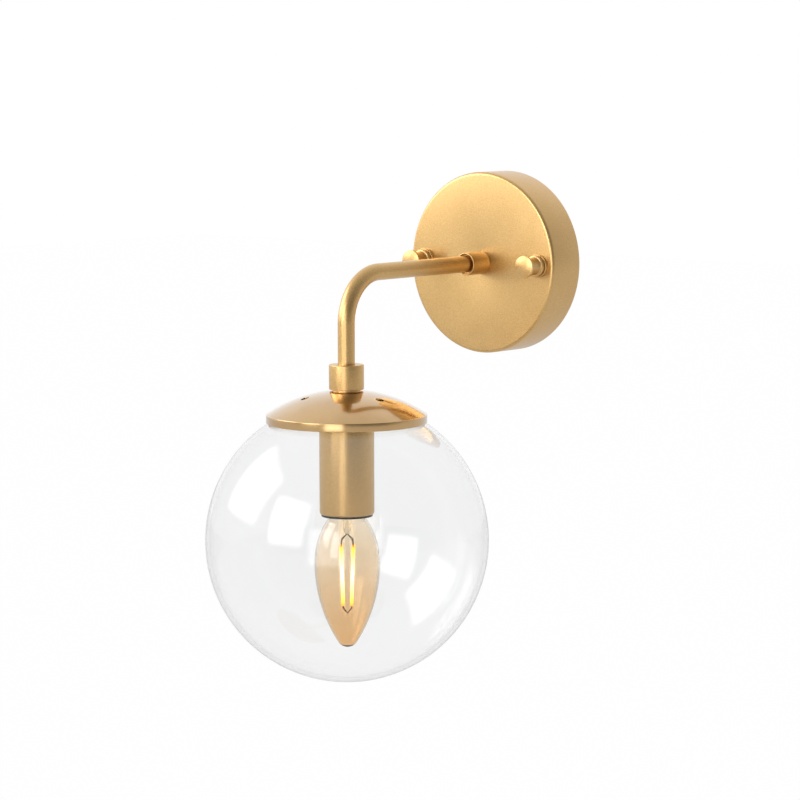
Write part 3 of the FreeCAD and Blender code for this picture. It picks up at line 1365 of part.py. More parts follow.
os.makedirs("parts", exist_ok=True)
for item in NODES:
    shape = item.Shape
    if shape.isNull() or not shape.isValid() or shape.Volume <= 0 or not shape.Solids:
        raise RuntimeError(item.Label + " is not a sound solid")
    box = shape.BoundBox
    spans = (box.XMin, box.XMax, box.YMin, box.YMax, box.ZMin, box.ZMax)
    words = (item.Label, len(shape.Solids), shape.Volume, "%7.1f" * 6 % spans)
    print("%-20s %2d solids %10.1f mm3  %s" % words)

for item in NODES:
    item.Shape.exportStep("parts/%s.step" % item.Label)
print("%d sub-parts written" % len(NODES))
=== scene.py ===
import math

import bmesh
import bpy
from mathutils import Matrix, Vector


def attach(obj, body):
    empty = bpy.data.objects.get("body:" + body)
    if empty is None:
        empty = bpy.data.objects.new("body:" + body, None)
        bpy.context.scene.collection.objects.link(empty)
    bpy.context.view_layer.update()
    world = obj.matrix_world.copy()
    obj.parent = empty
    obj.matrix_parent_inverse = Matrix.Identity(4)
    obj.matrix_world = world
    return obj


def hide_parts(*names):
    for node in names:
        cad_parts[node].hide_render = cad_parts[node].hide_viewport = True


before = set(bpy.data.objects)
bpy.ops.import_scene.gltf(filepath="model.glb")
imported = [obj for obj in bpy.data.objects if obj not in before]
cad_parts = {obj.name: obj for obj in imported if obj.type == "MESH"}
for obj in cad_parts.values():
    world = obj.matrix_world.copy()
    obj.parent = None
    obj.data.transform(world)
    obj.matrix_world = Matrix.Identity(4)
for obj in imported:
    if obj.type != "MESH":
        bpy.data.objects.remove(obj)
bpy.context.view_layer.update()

# Mounting bracket, its two studs, nuts and screws. The bracket is a zinc plated steel strip with
# raised ends, pressed from 1.5 mm sheet and screwed flat to the wall through its two slots.
# The studs are M4 screws put through it from behind, each locked by a thin nut.


def grain_group():
    """Soft blotches and a fine grain, as on plated, painted or moulded surfaces."""
    group = bpy.data.node_groups.new("surface_grain", "ShaderNodeTree")
    face = group.interface
    face.new_socket("Blotch Scale", in_out="INPUT", socket_type="NodeSocketFloat")
    face.new_socket("Grain Scale", in_out="INPUT", socket_type="NodeSocketFloat")
    face.new_socket("Grain Share", in_out="INPUT", socket_type="NodeSocketFloat")
    face.new_socket("Tone", in_out="OUTPUT", socket_type="NodeSocketFloat")
    face.new_socket("Grain", in_out="OUTPUT", socket_type="NodeSocketFloat")
    nodes, links = group.nodes, group.links
    given = nodes.new("NodeGroupInput")
    out = nodes.new("NodeGroupOutput")
    place = nodes.new("ShaderNodeTexCoord")
    blotch = nodes.new("ShaderNodeTexNoise")
    blotch.inputs["Detail"].default_value = 3.0
    grain = nodes.new("ShaderNodeTexNoise")
    grain.inputs["Detail"].default_value = 2.0
    mixed = nodes.new("ShaderNodeMix")
    links.new(place.outputs["Object"], blotch.inputs["Vector"])
    links.new(place.outputs["Object"], grain.inputs["Vector"])
    links.new(given.outputs["Blotch Scale"], blotch.inputs["Scale"])
    links.new(given.outputs["Grain Scale"], grain.inputs["Scale"])
    links.new(given.outputs["Grain Share"], mixed.inputs["Factor"])
    links.new(blotch.outputs["Fac"], mixed.inputs["A"])
    links.new(grain.outputs["Fac"], mixed.inputs["B"])
    links.new(mixed.outputs["Result"], out.inputs["Tone"])
    links.new(grain.outputs["Fac"], out.inputs["Grain"])
    return group


surface_grain = grain_group()


def srgb(red, green, blue):
    """A colour read off as 0 to 255 values, as the shader wants it."""
    values = [part / 255 for part in (red, green, blue)]
    return tuple(v / 12.92 if v <= 0.04045 else ((v + 0.055) / 1.055) ** 2.4 for v in values) + (1.0,)


def finish(name, dark, light, rough, metallic, scales, bump, coat=0.0, coat_rough=0.1):
    """A surface whose tone and polish vary a little with the grain."""
    material = bpy.data.materials.new(name)
    material.use_nodes = True
    nodes, links = material.node_tree.nodes, material.node_tree.links
    shader = nodes["Principled BSDF"]
    shader.inputs["Metallic"].default_value = metallic
    shader.inputs["Coat Weight"].default_value = coat
    shader.inputs["Coat Roughness"].default_value = coat_rough
    grain = nodes.new("ShaderNodeGroup")
    grain.node_tree = surface_grain
    for socket, number in zip(("Blotch Scale", "Grain Scale", "Grain Share"), scales):
        grain.inputs[socket].default_value = number
    spread = nodes.new("ShaderNodeMapRange")
    spread.inputs["From Min"].default_value = 0.35
    spread.inputs["From Max"].default_value = 0.65
    links.new(grain.outputs["Tone"], spread.inputs["Value"])
    tint = nodes.new("ShaderNodeMix")
    tint.data_type = "RGBA"
    tint.inputs["A"].default_value = dark
    tint.inputs["B"].default_value = light
    links.new(spread.outputs["Result"], tint.inputs["Factor"])
    links.new(tint.outputs["Result"], shader.inputs["Base Color"])
    polish = nodes.new("ShaderNodeMapRange")
    polish.inputs["To Min"].default_value = rough[0]
    polish.inputs["To Max"].default_value = rough[1]
    links.new(spread.outputs["Result"], polish.inputs["Value"])
    links.new(polish.outputs["Result"], shader.inputs["Roughness"])
    if bump:
        relief = nodes.new("ShaderNodeBump")
        relief.inputs["Strength"].default_value = bump
        relief.inputs["Distance"].default_value = 0.0002
        links.new(grain.outputs["Grain"], relief.inputs["Height"])
        links.new(relief.outputs["Normal"], shader.inputs["Normal"])
    return material


def coat_with(material, *names):
    """CAD pieces that are shown as they are, in their finish."""
    for name in names:
        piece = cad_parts[name]
        piece.data.materials.clear()
        piece.data.materials.append(material)


zinc = finish(
    "zinc_plating", srgb(168, 172, 176), srgb(214, 216, 216), (0.28, 0.45), 1.0, (160, 2600, 0.35), 0.12
)
coat_with(zinc, "mounting_bracket", "canopy_studs", "stud_nuts")

# Terminal block for the supply cable. A moulded white body with two brass tubes, each with two
# brass clamping screws, is held to the upper ear of the bracket by one steel screw.

white_moulding = finish(
    "white_moulding", srgb(226, 226, 220), srgb(238, 238, 233), (0.42, 0.55), 0.0, (120, 1800, 0.4), 0.06
)
brass = finish(
    "plain_brass", srgb(176, 138, 66), srgb(214, 178, 100), (0.25, 0.42), 1.0, (200, 2600, 0.3), 0.1
)
coat_with(white_moulding, "terminal_block")
coat_with(brass, "terminal_tubes", "terminal_screws")
coat_with(zinc, "block_screw")

# Earth connection. A green and yellow wire loops from a tinned ring tag on the arm's nipple to
# another under the earth screw of the lower ear.

tinned = finish(
    "tinned_copper", srgb(178, 176, 168), srgb(212, 208, 198), (0.3, 0.45), 1.0, (220, 2400, 0.3), 0.1
)
coat_with(tinned, "earth_tags")
coat_with(zinc, "earth_washer", "earth_screw")


def striped_insulation():
    """Green insulation with a yellow stripe along one side of the wire."""
    material = finish(
        "earth_insulation", srgb(70, 128, 32), srgb(88, 150, 44), (0.3, 0.4), 0.0, (300, 2000, 0.3), 0.0
    )
    nodes, links = material.node_tree.nodes, material.node_tree.links
    shader = nodes["Principled BSDF"]
    green = shader.inputs["Base Color"].links[0].from_socket
    place = nodes.new("ShaderNodeTexCoord")
    split = nodes.new("ShaderNodeSeparateXYZ")
    stripe = nodes.new("ShaderNodeMath")
    stripe.operation = "GREATER_THAN"
    stripe.inputs[1].default_value = 0.00025
    both = nodes.new("ShaderNodeMix")
    both.data_type = "RGBA"
    both.inputs["B"].default_value = srgb(228, 204, 40)
    links.new(place.outputs["Object"], split.inputs["Vector"])
    links.new(split.outputs["X"], stripe.inputs[0])
    links.new(stripe.outputs["Value"], both.inputs["Factor"])
    links.new(green, both.inputs["A"])
    links.new(both.outputs["Result"], shader.inputs["Base Color"])
    return material


coat_with(striped_insulation(), "earth_wire")

# The two insulated leads. They run from the terminal block through the arm's nipple, round the
# bend of the tube and down to the terminals of the lampholder: brown is live, blue is neutral.

brown_pvc = finish(
    "live_insulation", srgb(84, 50, 28), srgb(104, 62, 36), (0.3, 0.42), 0.0, (300, 2000, 0.3), 0.0
)
blue_pvc = finish(
    "neutral_insulation", srgb(34, 82, 150), srgb(46, 98, 170), (0.3, 0.42), 0.0, (300, 2000, 0.3), 0.0
)
coat_with(brown_pvc, "live_wire")
coat_with(blue_pvc, "neutral_wire")

# Canopy. A round cup drawn from 1 mm steel sheet with a rolled front edge, painted satin gold
# with a fine metallic grain. It is pulled to the wall over the bracket by the two knob nuts.


def rounded(points, steps=6):
    """An outline with its corners rounded. A corner is (radius, height) or has its own round."""
    outline = []
    count = len(points)
    for index, point in enumerate(points):
        here = Vector(point[:2])
        if len(point) == 2:
            outline.append(here)
            continue
        arrive = (here - Vector(points[index - 1][:2])).normalized()
        leave = (Vector(points[(index + 1) % count][:2]) - here).normalized()
        half_turn = arrive.angle(leave) / 2
        reach = point[2] * math.tan(half_turn)
        centre = here + (leave - arrive).normalized() * point[2] / math.cos(half_turn)
        start = here - arrive * reach - centre
        turn = arrive.angle_signed(leave)
        for step in range(steps + 1):
            spoke = start.copy()
            spoke.rotate(Matrix.Rotation(-turn * step / steps, 2))
            outline.append(centre + spoke)
    return outline


def arc(start, end, radius, side, steps):
    """Points from start to end along an arc with its centre to the left (1) or right (-1)."""
    first, last = Vector(start), Vector(end)
    run = last - first
    rise = math.sqrt(max(radius * radius - run.length_squared / 4, 0.0))
    centre = (first + last) / 2 + Vector((-run.y, run.x)).normalized() * rise * side
    turn = (first - centre).angle_signed(last - centre)
    points = []
    for step in range(steps + 1):
        spoke = first - centre
        spoke.rotate(Matrix.Rotation(-turn * step / steps, 2))
        points.append(centre + spoke)
    return points


def turned(name, outline, axis, centre, steps=144, crease=28):
    """A mesh turned about the Y or Z axis through centre. Outline and centre are in millimetres."""
    mesh = bpy.data.meshes.new(name)
    build = bmesh.new()
    rings = []
    for point in outline:
        radius, height = point[0] / 1000, point[1] / 1000
        spots = []
        for step in range(steps if radius > 1e-7 else 1):
            angle = 2 * math.pi * step / steps
            across, along = radius * math.cos(angle), radius * math.sin(angle)
            spot = (across, height, -along) if axis == "Y" else (across, along, height)
            spots.append(build.verts.new(spot))
        rings.append(spots)
    count = len(rings)
    for index in range(count):
        low, high = rings[index], rings[(index + 1) % count]
        if len(low) == 1 and len(high) == 1:
            continue
        for step in range(steps):
            after = (step + 1) % steps
            corners = [low[step % len(low)], low[after % len(low)]]
            corners += [high[after % len(high)], high[step % len(high)]]
            face = build.faces.new(list(dict.fromkeys(corners)))
            face.smooth = True
    bmesh.ops.recalc_face_normals(build, faces=build.faces)
    for edge in build.edges:
        if len(edge.link_faces) == 2:
            edge.smooth = edge.calc_face_angle(0.0) < math.radians(crease)
    bmesh.ops.translate(build, verts=build.verts, vec=Vector(centre) / 1000)
    build.to_mesh(mesh)
    build.free()
    piece = bpy.data.objects.new(name, mesh)
    bpy.context.scene.collection.objects.link(piece)
    return piece


def fitted(piece, material, body, slot, *nodes):
    """The piece in its finish, on its body, in place of the CAD nodes."""
    piece.data.materials.append(material)
    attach(piece, body)
    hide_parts(*nodes)
    return piece


gold_satin = finish(
    "satin_gold_paint",
    srgb(206, 166, 106),
    srgb(224, 186, 125),
    (0.3, 0.38),
    1.0,
    (60, 1700, 0.85),
    0.2,
    coat=0.3,
    coat_rough=0.16,
)
canopy_radius, canopy_depth, canopy_wall, canopy_hole = 50.0, 24.0, 1.0, 5.3
canopy_outline = rounded(
    [
        (canopy_hole, -canopy_depth, 0.1),
        (canopy_radius, -canopy_depth, 1.8),
        (canopy_radius, 0.0, 0.2),
        (canopy_radius - canopy_wall, 0.0, 0.2),
        (canopy_radius - canopy_wall, canopy_wall - canopy_depth, 0.8),
        (canopy_hole, canopy_wall - canopy_depth, 0.1),
    ]
)
canopy = turned("canopy", canopy_outline, "Y", (0, 0, 0), 256)
fitted(canopy, gold_satin, "fixture", "gold_satin", "canopy")

# Knob nuts. Each is turned from brass bar and painted with the canopy: a groove, a bead, a neck
# with small coves and a flat, slightly domed head, over a thin base washer of its own.


def cap_radius(half_width, rise):
    """Radius of the arc over a chord of twice the half width that rises by the given height."""
    return (half_width**2 + rise**2) / (2 * rise)


def knob_outline():
    """Outline of a knob nut, from its foot to the top of its head and back up the tapped hole."""
    points = rounded(
        [
            (2.05, -25.6),
            (5.2, -25.6, 0.1),
            (5.2, -26.1, 0.1),
            (5.9, -26.1, 0.55),
            (5.9, -28.0, 0.75),
            (4.7, -28.0, 0.6),
            (4.7, -35.6, 0.6),
            (6.05, -35.6, 0.4),
            (6.05, -37.0, 0.2),
            (5.7, -37.09),
        ]
    )
    points = points[:-1]
    points += arc((5.7, -37.09), (0.0, -37.8), cap_radius(5.7, 0.71), -1, 14)
    points += [Vector((0.0, -36.5)), Vector((2.05, -36.5))]
    return points


stud_place = 40.0
for side, across in (("left", -stud_place), ("right", stud_place)):
    washer = rounded([(2.3, -24.0), (6.4, -24.0, 0.1), (6.4, -25.6, 0.4), (2.3, -25.6)])
    piece = turned("knob_washer_" + side, washer, "Y", (across, 0, 0), 96)
    fitted(piece, gold_satin, side + "_knob_travel", "gold_satin", "knob_washer_" + side)
    piece = turned("knob_nut_" + side, knob_outline(), "Y", (across, 0, 0), 96)
    fitted(piece, gold_satin, side + "_knob", "gold_satin", "knob_nut_" + side)

# Arm fastening behind the canopy: a threaded nipple, a toothed washer and a hexagon nut, all of
# plated steel, clamp the collar to the sheet from inside.

coat_with(zinc, "arm_nipple", "arm_star_washer", "arm_lock_nut")

# Arm. A collar with a wider mouth is screwed on the nipple, and a 9 mm steel tube, bent a quarter
# turn at a radius of 26 mm, stands in it. Both have the satin gold paint.

collar_outline = rounded(
    [
        (5.05, -24.0),
        (6.3, -24.0, 0.15),
        (6.3, -38.0, 0.35),
        (5.6, -38.0, 0.2),
        (5.6, -35.0),
        (4.6, -35.0),
        (4.6, -30.0),
        (5.05, -30.0),
    ]
)
arm_collar = turned("arm_collar", collar_outline, "Y", (0, 0, 0), 96)
fitted(arm_collar, gold_satin, "fixture", "gold_satin", "arm_collar")


def bent_tube(name, radius, wall, start, bend, reach, foot, steps=72):
    """A tube along -Y, round a quarter bend and down. All in millimetres."""
    spine = [(Vector((0, start, 0)), Vector((0, -1, 0)))]
    ahead, below = Vector((0, -1, 0)), Vector((0, 0, -1))
    spine += [(Vector((0, start + (bend - reach - start) * k / 8, 0)), ahead) for k in range(1, 8)]
    for step in range(41):
        angle = math.pi / 2 * step / 40
        spot = Vector((0, bend - reach - bend * math.sin(angle), bend * math.cos(angle) - bend))
        spine.append((spot, Vector((0, -math.cos(angle), -math.sin(angle)))))
    spine += [(Vector((0, -reach, -bend + (foot + bend) * k / 4)), below) for k in range(1, 5)]
    build = bmesh.new()
    walls = []
    for size in (radius, radius - wall):
        rings = []
        for spot, way in spine:
            level = way.cross(Vector((1, 0, 0)))
            ring = []
            for step in range(steps):
                angle = 2 * math.pi * step / steps
                offset = Vector((1, 0, 0)) * math.cos(angle) + level * math.sin(angle)
                ring.append(build.verts.new((spot + offset * size) / 1000))
            rings.append(ring)
        walls.append(rings)
    pairs = [(low, high) for rings in walls for low, high in zip(rings, rings[1:])]
    pairs += [(walls[0][0], walls[1][0]), (walls[0][-1], walls[1][-1])]
    for low, high in pairs:
        for step in range(steps):
            after = (step + 1) % steps
            build.faces.new((low[step], low[after], high[after], high[step])).smooth = True
    bmesh.ops.recalc_face_normals(build, faces=build.faces)
    for edge in build.edges:
        edge.smooth = edge.calc_face_angle(0.0) < math.radians(28)
    mesh = bpy.data.meshes.new(name)
    build.to_mesh(mesh)
    build.free()
    piece = bpy.data.objects.new(name, mesh)
    bpy.context.scene.collection.objects.link(piece)
    return piece


arm_reach = 137.0
arm_tube = bent_tube("arm_tube", radius=4.5, wall=1.0, start=-30.0, bend=26.0, reach=arm_reach, foot=-55.9)
fitted(arm_tube, gold_satin, "fixture", "gold_satin", "arm_tube")

# Drop collar. A turned coupling with a seat for the tube on top, a thread below and a narrow
# spigot at its foot, which leaves a dark line over the dome. The steel nipple in it holds the drop.

drop = (0, -arm_reach, 0)
drop_collar_outline = rounded(
    [
        (5.05, -61.2),
        (7.6, -61.2),
        (7.6, -60.4),
        (9.25, -60.4, 0.3),
        (9.25, -47.3, 0.45),
        (4.6, -47.3, 0.15),
        (4.6, -55.9),
        (5.05, -55.9),
    ]
)
drop_collar = turned("drop_collar", drop_collar_outline, "Z", drop, 112)
fitted(drop_collar, gold_satin, "fixture", "gold_satin", "drop_collar")
coat_with(zinc, "drop_nipple")

# Cap. A dome spun from 1 mm sheet with a flat seat, a small step and an upright rim, in the same
# gold but with a gloss lacquer. Three vent holes let the warm air out of the globe.

gold_gloss = finish(
    "gloss_gold_lacquer",
    srgb(196, 157, 103),
    srgb(208, 171, 115),
    (0.15, 0.19),
    1.0,
    (60, 3000, 0.3),
    0.03,
    coat=1.0,
    coat_rough=0.04,
)


dome_radius, dome_wall = 77.0, 1.0
seat_radius, seat_height = 8.2, -61.2
vent_radius, vent_ring = 2.2, 23.0


def dome_normal(spot):
    """Direction square to the dome's outer face at a point over it."""
    flat = Vector((spot.x, spot.y + arm_reach / 1000, 0))
    distance = flat.length
    if distance < seat_radius / 1000:
        return Vector((0, 0, 1))
    slope = math.asin(min((distance + 0.0005) * 1000 / dome_radius, 1.0))
    return (flat.normalized() * math.sin(slope) + Vector((0, 0, math.cos(slope)))).normalized()


def cap_with_vents():
    """The dome with its vent holes cut, shaded as the smooth dome it was before."""
    outline = [Vector((5.3, seat_height - dome_wall)), Vector((5.3, seat_height))]
    outline += arc((seat_radius, seat_height), (42.0, -73.5), dome_radius, -1, 48)
    rim = [(42.0, -73.5), (42.5, -73.5, 0.4), (42.5, -78.0, 0.3), (41.5, -78.0, 0.15), (41.5, -74.3)]
    outline += rounded(rim)[1:]
    outline += arc((41.4, -74.3), (seat_radius, seat_height - dome_wall), dome_radius - dome_wall, 1, 40)
    piece = turned("cap_dome", outline, "Z", drop, 256)
    cutter_mesh = bpy.data.meshes.new("vent_cutter")
    build = bmesh.new()
    for degrees in (0, 120, 240):
        angle = math.radians(degrees)
        spot = Vector((vent_ring * math.cos(angle), vent_ring * math.sin(angle) - arm_reach, -66.0)) / 1000
        bmesh.ops.create_cone(
            build,
            cap_ends=True,
            segments=40,
            radius1=vent_radius / 1000,
            radius2=vent_radius / 1000,
            depth=0.02,
            matrix=Matrix.Translation(spot),
        )
    build.to_mesh(cutter_mesh)
    build.free()
    cutter = bpy.data.objects.new("vent_cutter", cutter_mesh)
    bpy.context.scene.collection.objects.link(cutter)
    cut = piece.modifiers.new("vents", "BOOLEAN")
    cut.object = cutter
    cut.operation = "DIFFERENCE"
    cut.solver = "EXACT"
    bpy.context.view_layer.update()
    shaped = bpy.data.meshes.new_from_object(piece.evaluated_get(bpy.context.evaluated_depsgraph_get()))
    piece.modifiers.clear()
    piece.data = shaped
    bpy.data.objects.remove(cutter)
    normals = [corner.vector.copy() for corner in shaped.corner_normals]
    for face in shaped.polygons:
        for loop in face.loop_indices:
            spot = shaped.vertices[shaped.loops[loop].vertex_index].co
            square = dome_normal(spot)
            on_dome = face.normal.dot(square) > 0.98 and spot.z > -0.0732
            distance = math.hypot(spot.x, spot.y + arm_reach / 1000)
            if on_dome and 0.0083 < distance < 0.0419:
                normals[loop] = square
    shaped.normals_split_custom_set([tuple(normal) for normal in normals])
    return piece


fitted(cap_with_vents(), gold_gloss, "fixture", "gold_gloss", "cap_dome")

# Inside the cap: toothed washer, hexagon nut, clip plate and rivets in plated steel, and three
# spring steel clips that reach down and hook under the mouth of the glass.

spring_steel = finish(
    "spring_steel", srgb(150, 152, 156), srgb(192, 194, 198), (0.22, 0.34), 1.0, (200, 2600, 0.3), 0.08
)
coat_with(zinc, "cap_star_washer", "cap_lock_nut", "clip_plate", "clip_rivets")
coat_with(spring_steel, "globe_clips")

# Lampholder. A black moulded body in two halves stands in a satin gold brass sleeve whose lower
# edge is rolled in; the body's black lip shows as a thin line under it.

sleeve_outline = rounded(
    [
        (5.3, -66.9),
        (14.5, -66.9, 1.5),
        (14.5, -126.7, 1.1),
        (13.4, -126.7, 0.1),
        (13.4, -125.6),
        (13.7, -125.6),
        (13.7, -67.7, 0.6),
        (5.3, -67.7),
    ]
)
sleeve_outline.reverse()
sleeve = turned("lampholder_sleeve", sleeve_outline, "Z", drop, 128)
fitted(sleeve, gold_satin, "fixture", "gold_satin", "lampholder_sleeve")
black_moulding = finish(
    "black_moulding", srgb(20, 19, 18), srgb(30, 29, 27), (0.35, 0.5), 0.0, (160, 2200, 0.4), 0.08
)
coat_with(black_moulding, "holder_cap", "holder_skirt", "holder_core")
coat_with(brass, "screw_shell", "centre_contact", "holder_terminals")
coat_with(zinc, "holder_screws")

# Glass globe. A blown ball of clear glass with a 2 mm wall and a fire-polished round mouth, open
# at the top, where the clips hold it just under the rim of the cap.


def clear_glass():
    """Clear glass with the faint tint and the slight waviness of blown work."""
    material = bpy.data.materials.new("clear_blown_glass")
    material.use_nodes = True
    nodes, links = material.node_tree.nodes, material.node_tree.links
    shader = nodes["Principled BSDF"]
    shader.inputs["Transmission Weight"].default_value = 1.0
    shader.inputs["IOR"].default_value = 1.45
    shader.inputs["Roughness"].default_value = 0.0
    place = nodes.new("ShaderNodeTexCoord")
    wave = nodes.new("ShaderNodeTexNoise")
    wave.inputs["Scale"].default_value = 22.0
    tint = nodes.new("ShaderNodeMix")
    tint.data_type = "RGBA"
    tint.inputs["A"].default_value = (0.968, 0.969, 0.969, 1.0)
    tint.inputs["B"].default_value = (0.95, 0.952, 0.952, 1.0)
    relief = nodes.new("ShaderNodeBump")
    relief.inputs["Strength"].default_value = 0.05
    relief.inputs["Distance"].default_value = 0.0003
    links.new(place.outputs["Object"], wave.inputs["Vector"])
    links.new(wave.outputs["Fac"], tint.inputs["Factor"])
    links.new(tint.outputs["Result"], shader.inputs["Base Color"])
    links.new(wave.outputs["Fac"], relief.inputs["Height"])
    links.new(relief.outputs["Normal"], shader.inputs["Normal"])
    return material


def globe_outline(outer=75.0, inner=73.0, middle=-140.773, steps=96):
    """The ball's wall from the mouth round the outside to the bottom and back inside."""
    points = []
    for step in range(steps + 1):
        angle = math.radians(63.04) - math.radians(153.04) * step / steps
        points.append(Vector((outer * math.cos(angle), middle + outer * math.sin(angle))))
    points[-1] = Vector((0.0, middle - outer))
    for step in range(steps + 1):
        angle = -math.radians(90) + math.radians(152.25) * step / steps
        points.append(Vector((inner * math.cos(angle), middle + inner * math.sin(angle))))
    points[steps + 1] = Vector((0.0, middle - inner))
    return points


globe = turned("glass_globe", globe_outline(), "Z", drop, 320, crease=60)
fitted(globe, clear_glass(), "globe", "clear_glass", "glass_globe")

# Bulb. A candle lamp with a small screw base: solder tip, black insulator, rolled metal shell and
# an amber tinted glass. Inside stand a glass stem, four lit filaments and their support wires.

solder = finish(
    "solder_tip", srgb(170, 170, 168), srgb(208, 208, 204), (0.3, 0.5), 1.0, (500, 3000, 0.3), 0.2
)
coat_with(solder, "bulb_tip")
coat_with(black_moulding, "bulb_insulator")


def rolled_base(name, thread_radius=6.6, thread_rise=0.25, pitch=2.822, top=-106.9, length=15.2):
    """The base's shell with its rolled thread, as a grid of points round the drop axis."""
    steps, rows = 96, 90
    outline = [(5.66, -106.75), (5.66, -106.45), (6.2, -106.45)]
    outline += [(thread_radius, top - length * row / rows) for row in range(rows + 1)]
    outline += [(7.3, -122.9), (8.3, -124.9), (8.5, -125.3), (8.5, -126.5), (8.15, -126.5), (8.15, -125.2)]
    outline += [(6.9, -122.9), (6.15, -121.9), (6.15, top)]
    build = bmesh.new()
    rings = []
    for radius, height in outline:
        ring = []
        for step in range(steps):
            angle = 2 * math.pi * step / steps
            size = radius
            if radius == thread_radius:
                run = min(1.0, (top - height) / 1.6, (height - top + length) / 1.6)
                size += thread_rise * run * math.cos(2 * math.pi * height / pitch + angle)
            spot = Vector((size * math.cos(angle), size * math.sin(angle) - arm_reach, height))
            ring.append(build.verts.new(spot / 1000))
        rings.append(ring)
    for low, high in zip(rings, rings[1:] + rings[:1]):
        for step in range(steps):
            after = (step + 1) % steps
            build.faces.new((low[step], low[after], high[after], high[step])).smooth = True
    bmesh.ops.recalc_face_normals(build, faces=build.faces)
    for edge in build.edges:
        edge.smooth = edge.calc_face_angle(0.0) < math.radians(40)
    mesh = bpy.data.meshes.new(name)
    build.to_mesh(mesh)
    build.free()
    piece = bpy.data.objects.new(name, mesh)
    bpy.context.scene.collection.objects.link(piece)
    return piece


base_metal = finish(
    "base_metal", srgb(186, 184, 178), srgb(216, 214, 208), (0.22, 0.34), 1.0, (300, 2600, 0.3), 0.06
)
fitted(rolled_base("bulb_cap"), base_metal, "bulb", "bulb_metal", "bulb_cap")


def amber_glass():
    """Thin amber glass, a little stronger towards the tip."""
    material = bpy.data.materials.new("amber_glass")
    material.use_nodes = True
    nodes, links = material.node_tree.nodes, material.node_tree.links
    shader = nodes["Principled BSDF"]
    shader.inputs["Transmission Weight"].default_value = 1.0
    shader.inputs["IOR"].default_value = 1.45
    shader.inputs["Roughness"].default_value = 0.0
    place = nodes.new("ShaderNodeTexCoord")
    split = nodes.new("ShaderNodeSeparateXYZ")
    span = nodes.new("ShaderNodeMapRange")
    span.inputs["From Min"].default_value = -0.127
    span.inputs["From Max"].default_value = -0.197
    tint = nodes.new("ShaderNodeMix")
    tint.data_type = "RGBA"
    tint.inputs["A"].default_value = srgb(254, 247, 235)
    tint.inputs["B"].default_value = srgb(243, 211, 162)
    links.new(place.outputs["Object"], split.inputs["Vector"])
    links.new(split.outputs["Z"], span.inputs["Value"])
    links.new(span.outputs["Result"], tint.inputs["Factor"])
    links.new(tint.outputs["Result"], shader.inputs["Base Color"])
    return material


def candle_outline():
    """The candle's wall from the neck in the base to the blunt tip and back inside."""
    upper, lower = cap_radius(26.5, 9.4), cap_radius(43.4, 12.9)
    points = [Vector((6.2, -118.5)), Vector((6.2, -122.0))]
    points += arc((8.0, -126.5), (17.4, -153.0), upper, -1, 40)
    points += arc((17.4, -153.0), (4.5, -196.4), lower, -1, 56)[1:]
    points += arc((4.5, -196.4), (0.0, -198.4), cap_radius(4.5, 2.0), -1, 12)[1:]
    points[-1] = Vector((0.0, -198.4))
    points += [Vector((0.0, -197.6))]
    points += arc((0.0, -197.6), (3.7, -196.4), cap_radius(3.7, 1.2), 1, 10)[1:]
    points += arc((3.7, -196.4), (16.6, -153.0), lower, 1, 56)[1:]
    points += arc((16.6, -153.0), (7.2, -126.5), upper, 1, 40)[1:]
    points += [Vector((5.4, -122.0)), Vector((5.4, -118.5))]
    return points


candle = turned("bulb_glass", candle_outline(), "Z", drop, 144, crease=50)
fitted(candle, amber_glass(), "bulb", "amber_glass", "bulb_glass")


def stem_glass():
    """The thicker glass of the stem."""
    material = bpy.data.materials.new("stem_glass")
    material.use_nodes = True
    nodes, links = material.node_tree.nodes, material.node_tree.links
    shader = nodes["Principled BSDF"]
    shader.inputs["Transmission Weight"].default_value = 1.0
    shader.inputs["IOR"].default_value = 1.5
    shader.inputs["Roughness"].default_value = 0.05
    place = nodes.new("ShaderNodeTexCoord")
    wave = nodes.new("ShaderNodeTexNoise")
    wave.inputs["Scale"].default_value = 180.0
    tint = nodes.new("ShaderNodeMix")
    tint.data_type = "RGBA"
    tint.inputs["A"].default_value = (0.97, 0.93, 0.86, 1.0)
    tint.inputs["B"].default_value = (0.9, 0.8, 0.64, 1.0)
    links.new(place.outputs["Object"], wave.inputs["Vector"])
    links.new(wave.outputs["Fac"], tint.inputs["Factor"])
    links.new(tint.outputs["Result"], shader.inputs["Base Color"])
    return material


stem_outline = rounded(
    [
        (0.0, -118.5),
        (5.35, -118.5, 0.3),
        (5.35, -119.4, 0.3),
        (2.2, -123.4, 2.5),
        (2.2, -134.3, 1.0),
        (1.1, -137.5, 0.5),
        (0.0, -137.5),
    ]
)
fitted(turned("bulb_stem", stem_outline, "Z", drop, 64), stem_glass(), "bulb", "stem_glass", "bulb_stem")


def rods(name, runs, steps=20):
    """Straight round rods in one mesh. A run is (start, end, radius), in millimetres."""
    build = bmesh.new()
    for start, end, radius in runs:
        first, last = Vector(start), Vector(end)
        way = (last - first).normalized()
        turn = way.to_track_quat("Z", "Y").to_matrix().to_4x4()
        middle = Matrix.Translation((first + last) / 2000)
        length = (last - first).length / 1000
        bmesh.ops.create_cone(
            build,
            cap_ends=True,
            segments=steps,
            radius1=radius / 1000,
            radius2=radius / 1000,
            depth=length,
            matrix=middle @ turn,
        )
    for face in build.faces:
        face.smooth = len(face.verts) == 4
    mesh = bpy.data.meshes.new(name)
    build.to_mesh(mesh)
    build.free()
    piece = bpy.data.objects.new(name, mesh)
    bpy.context.scene.collection.objects.link(piece)
    return piece


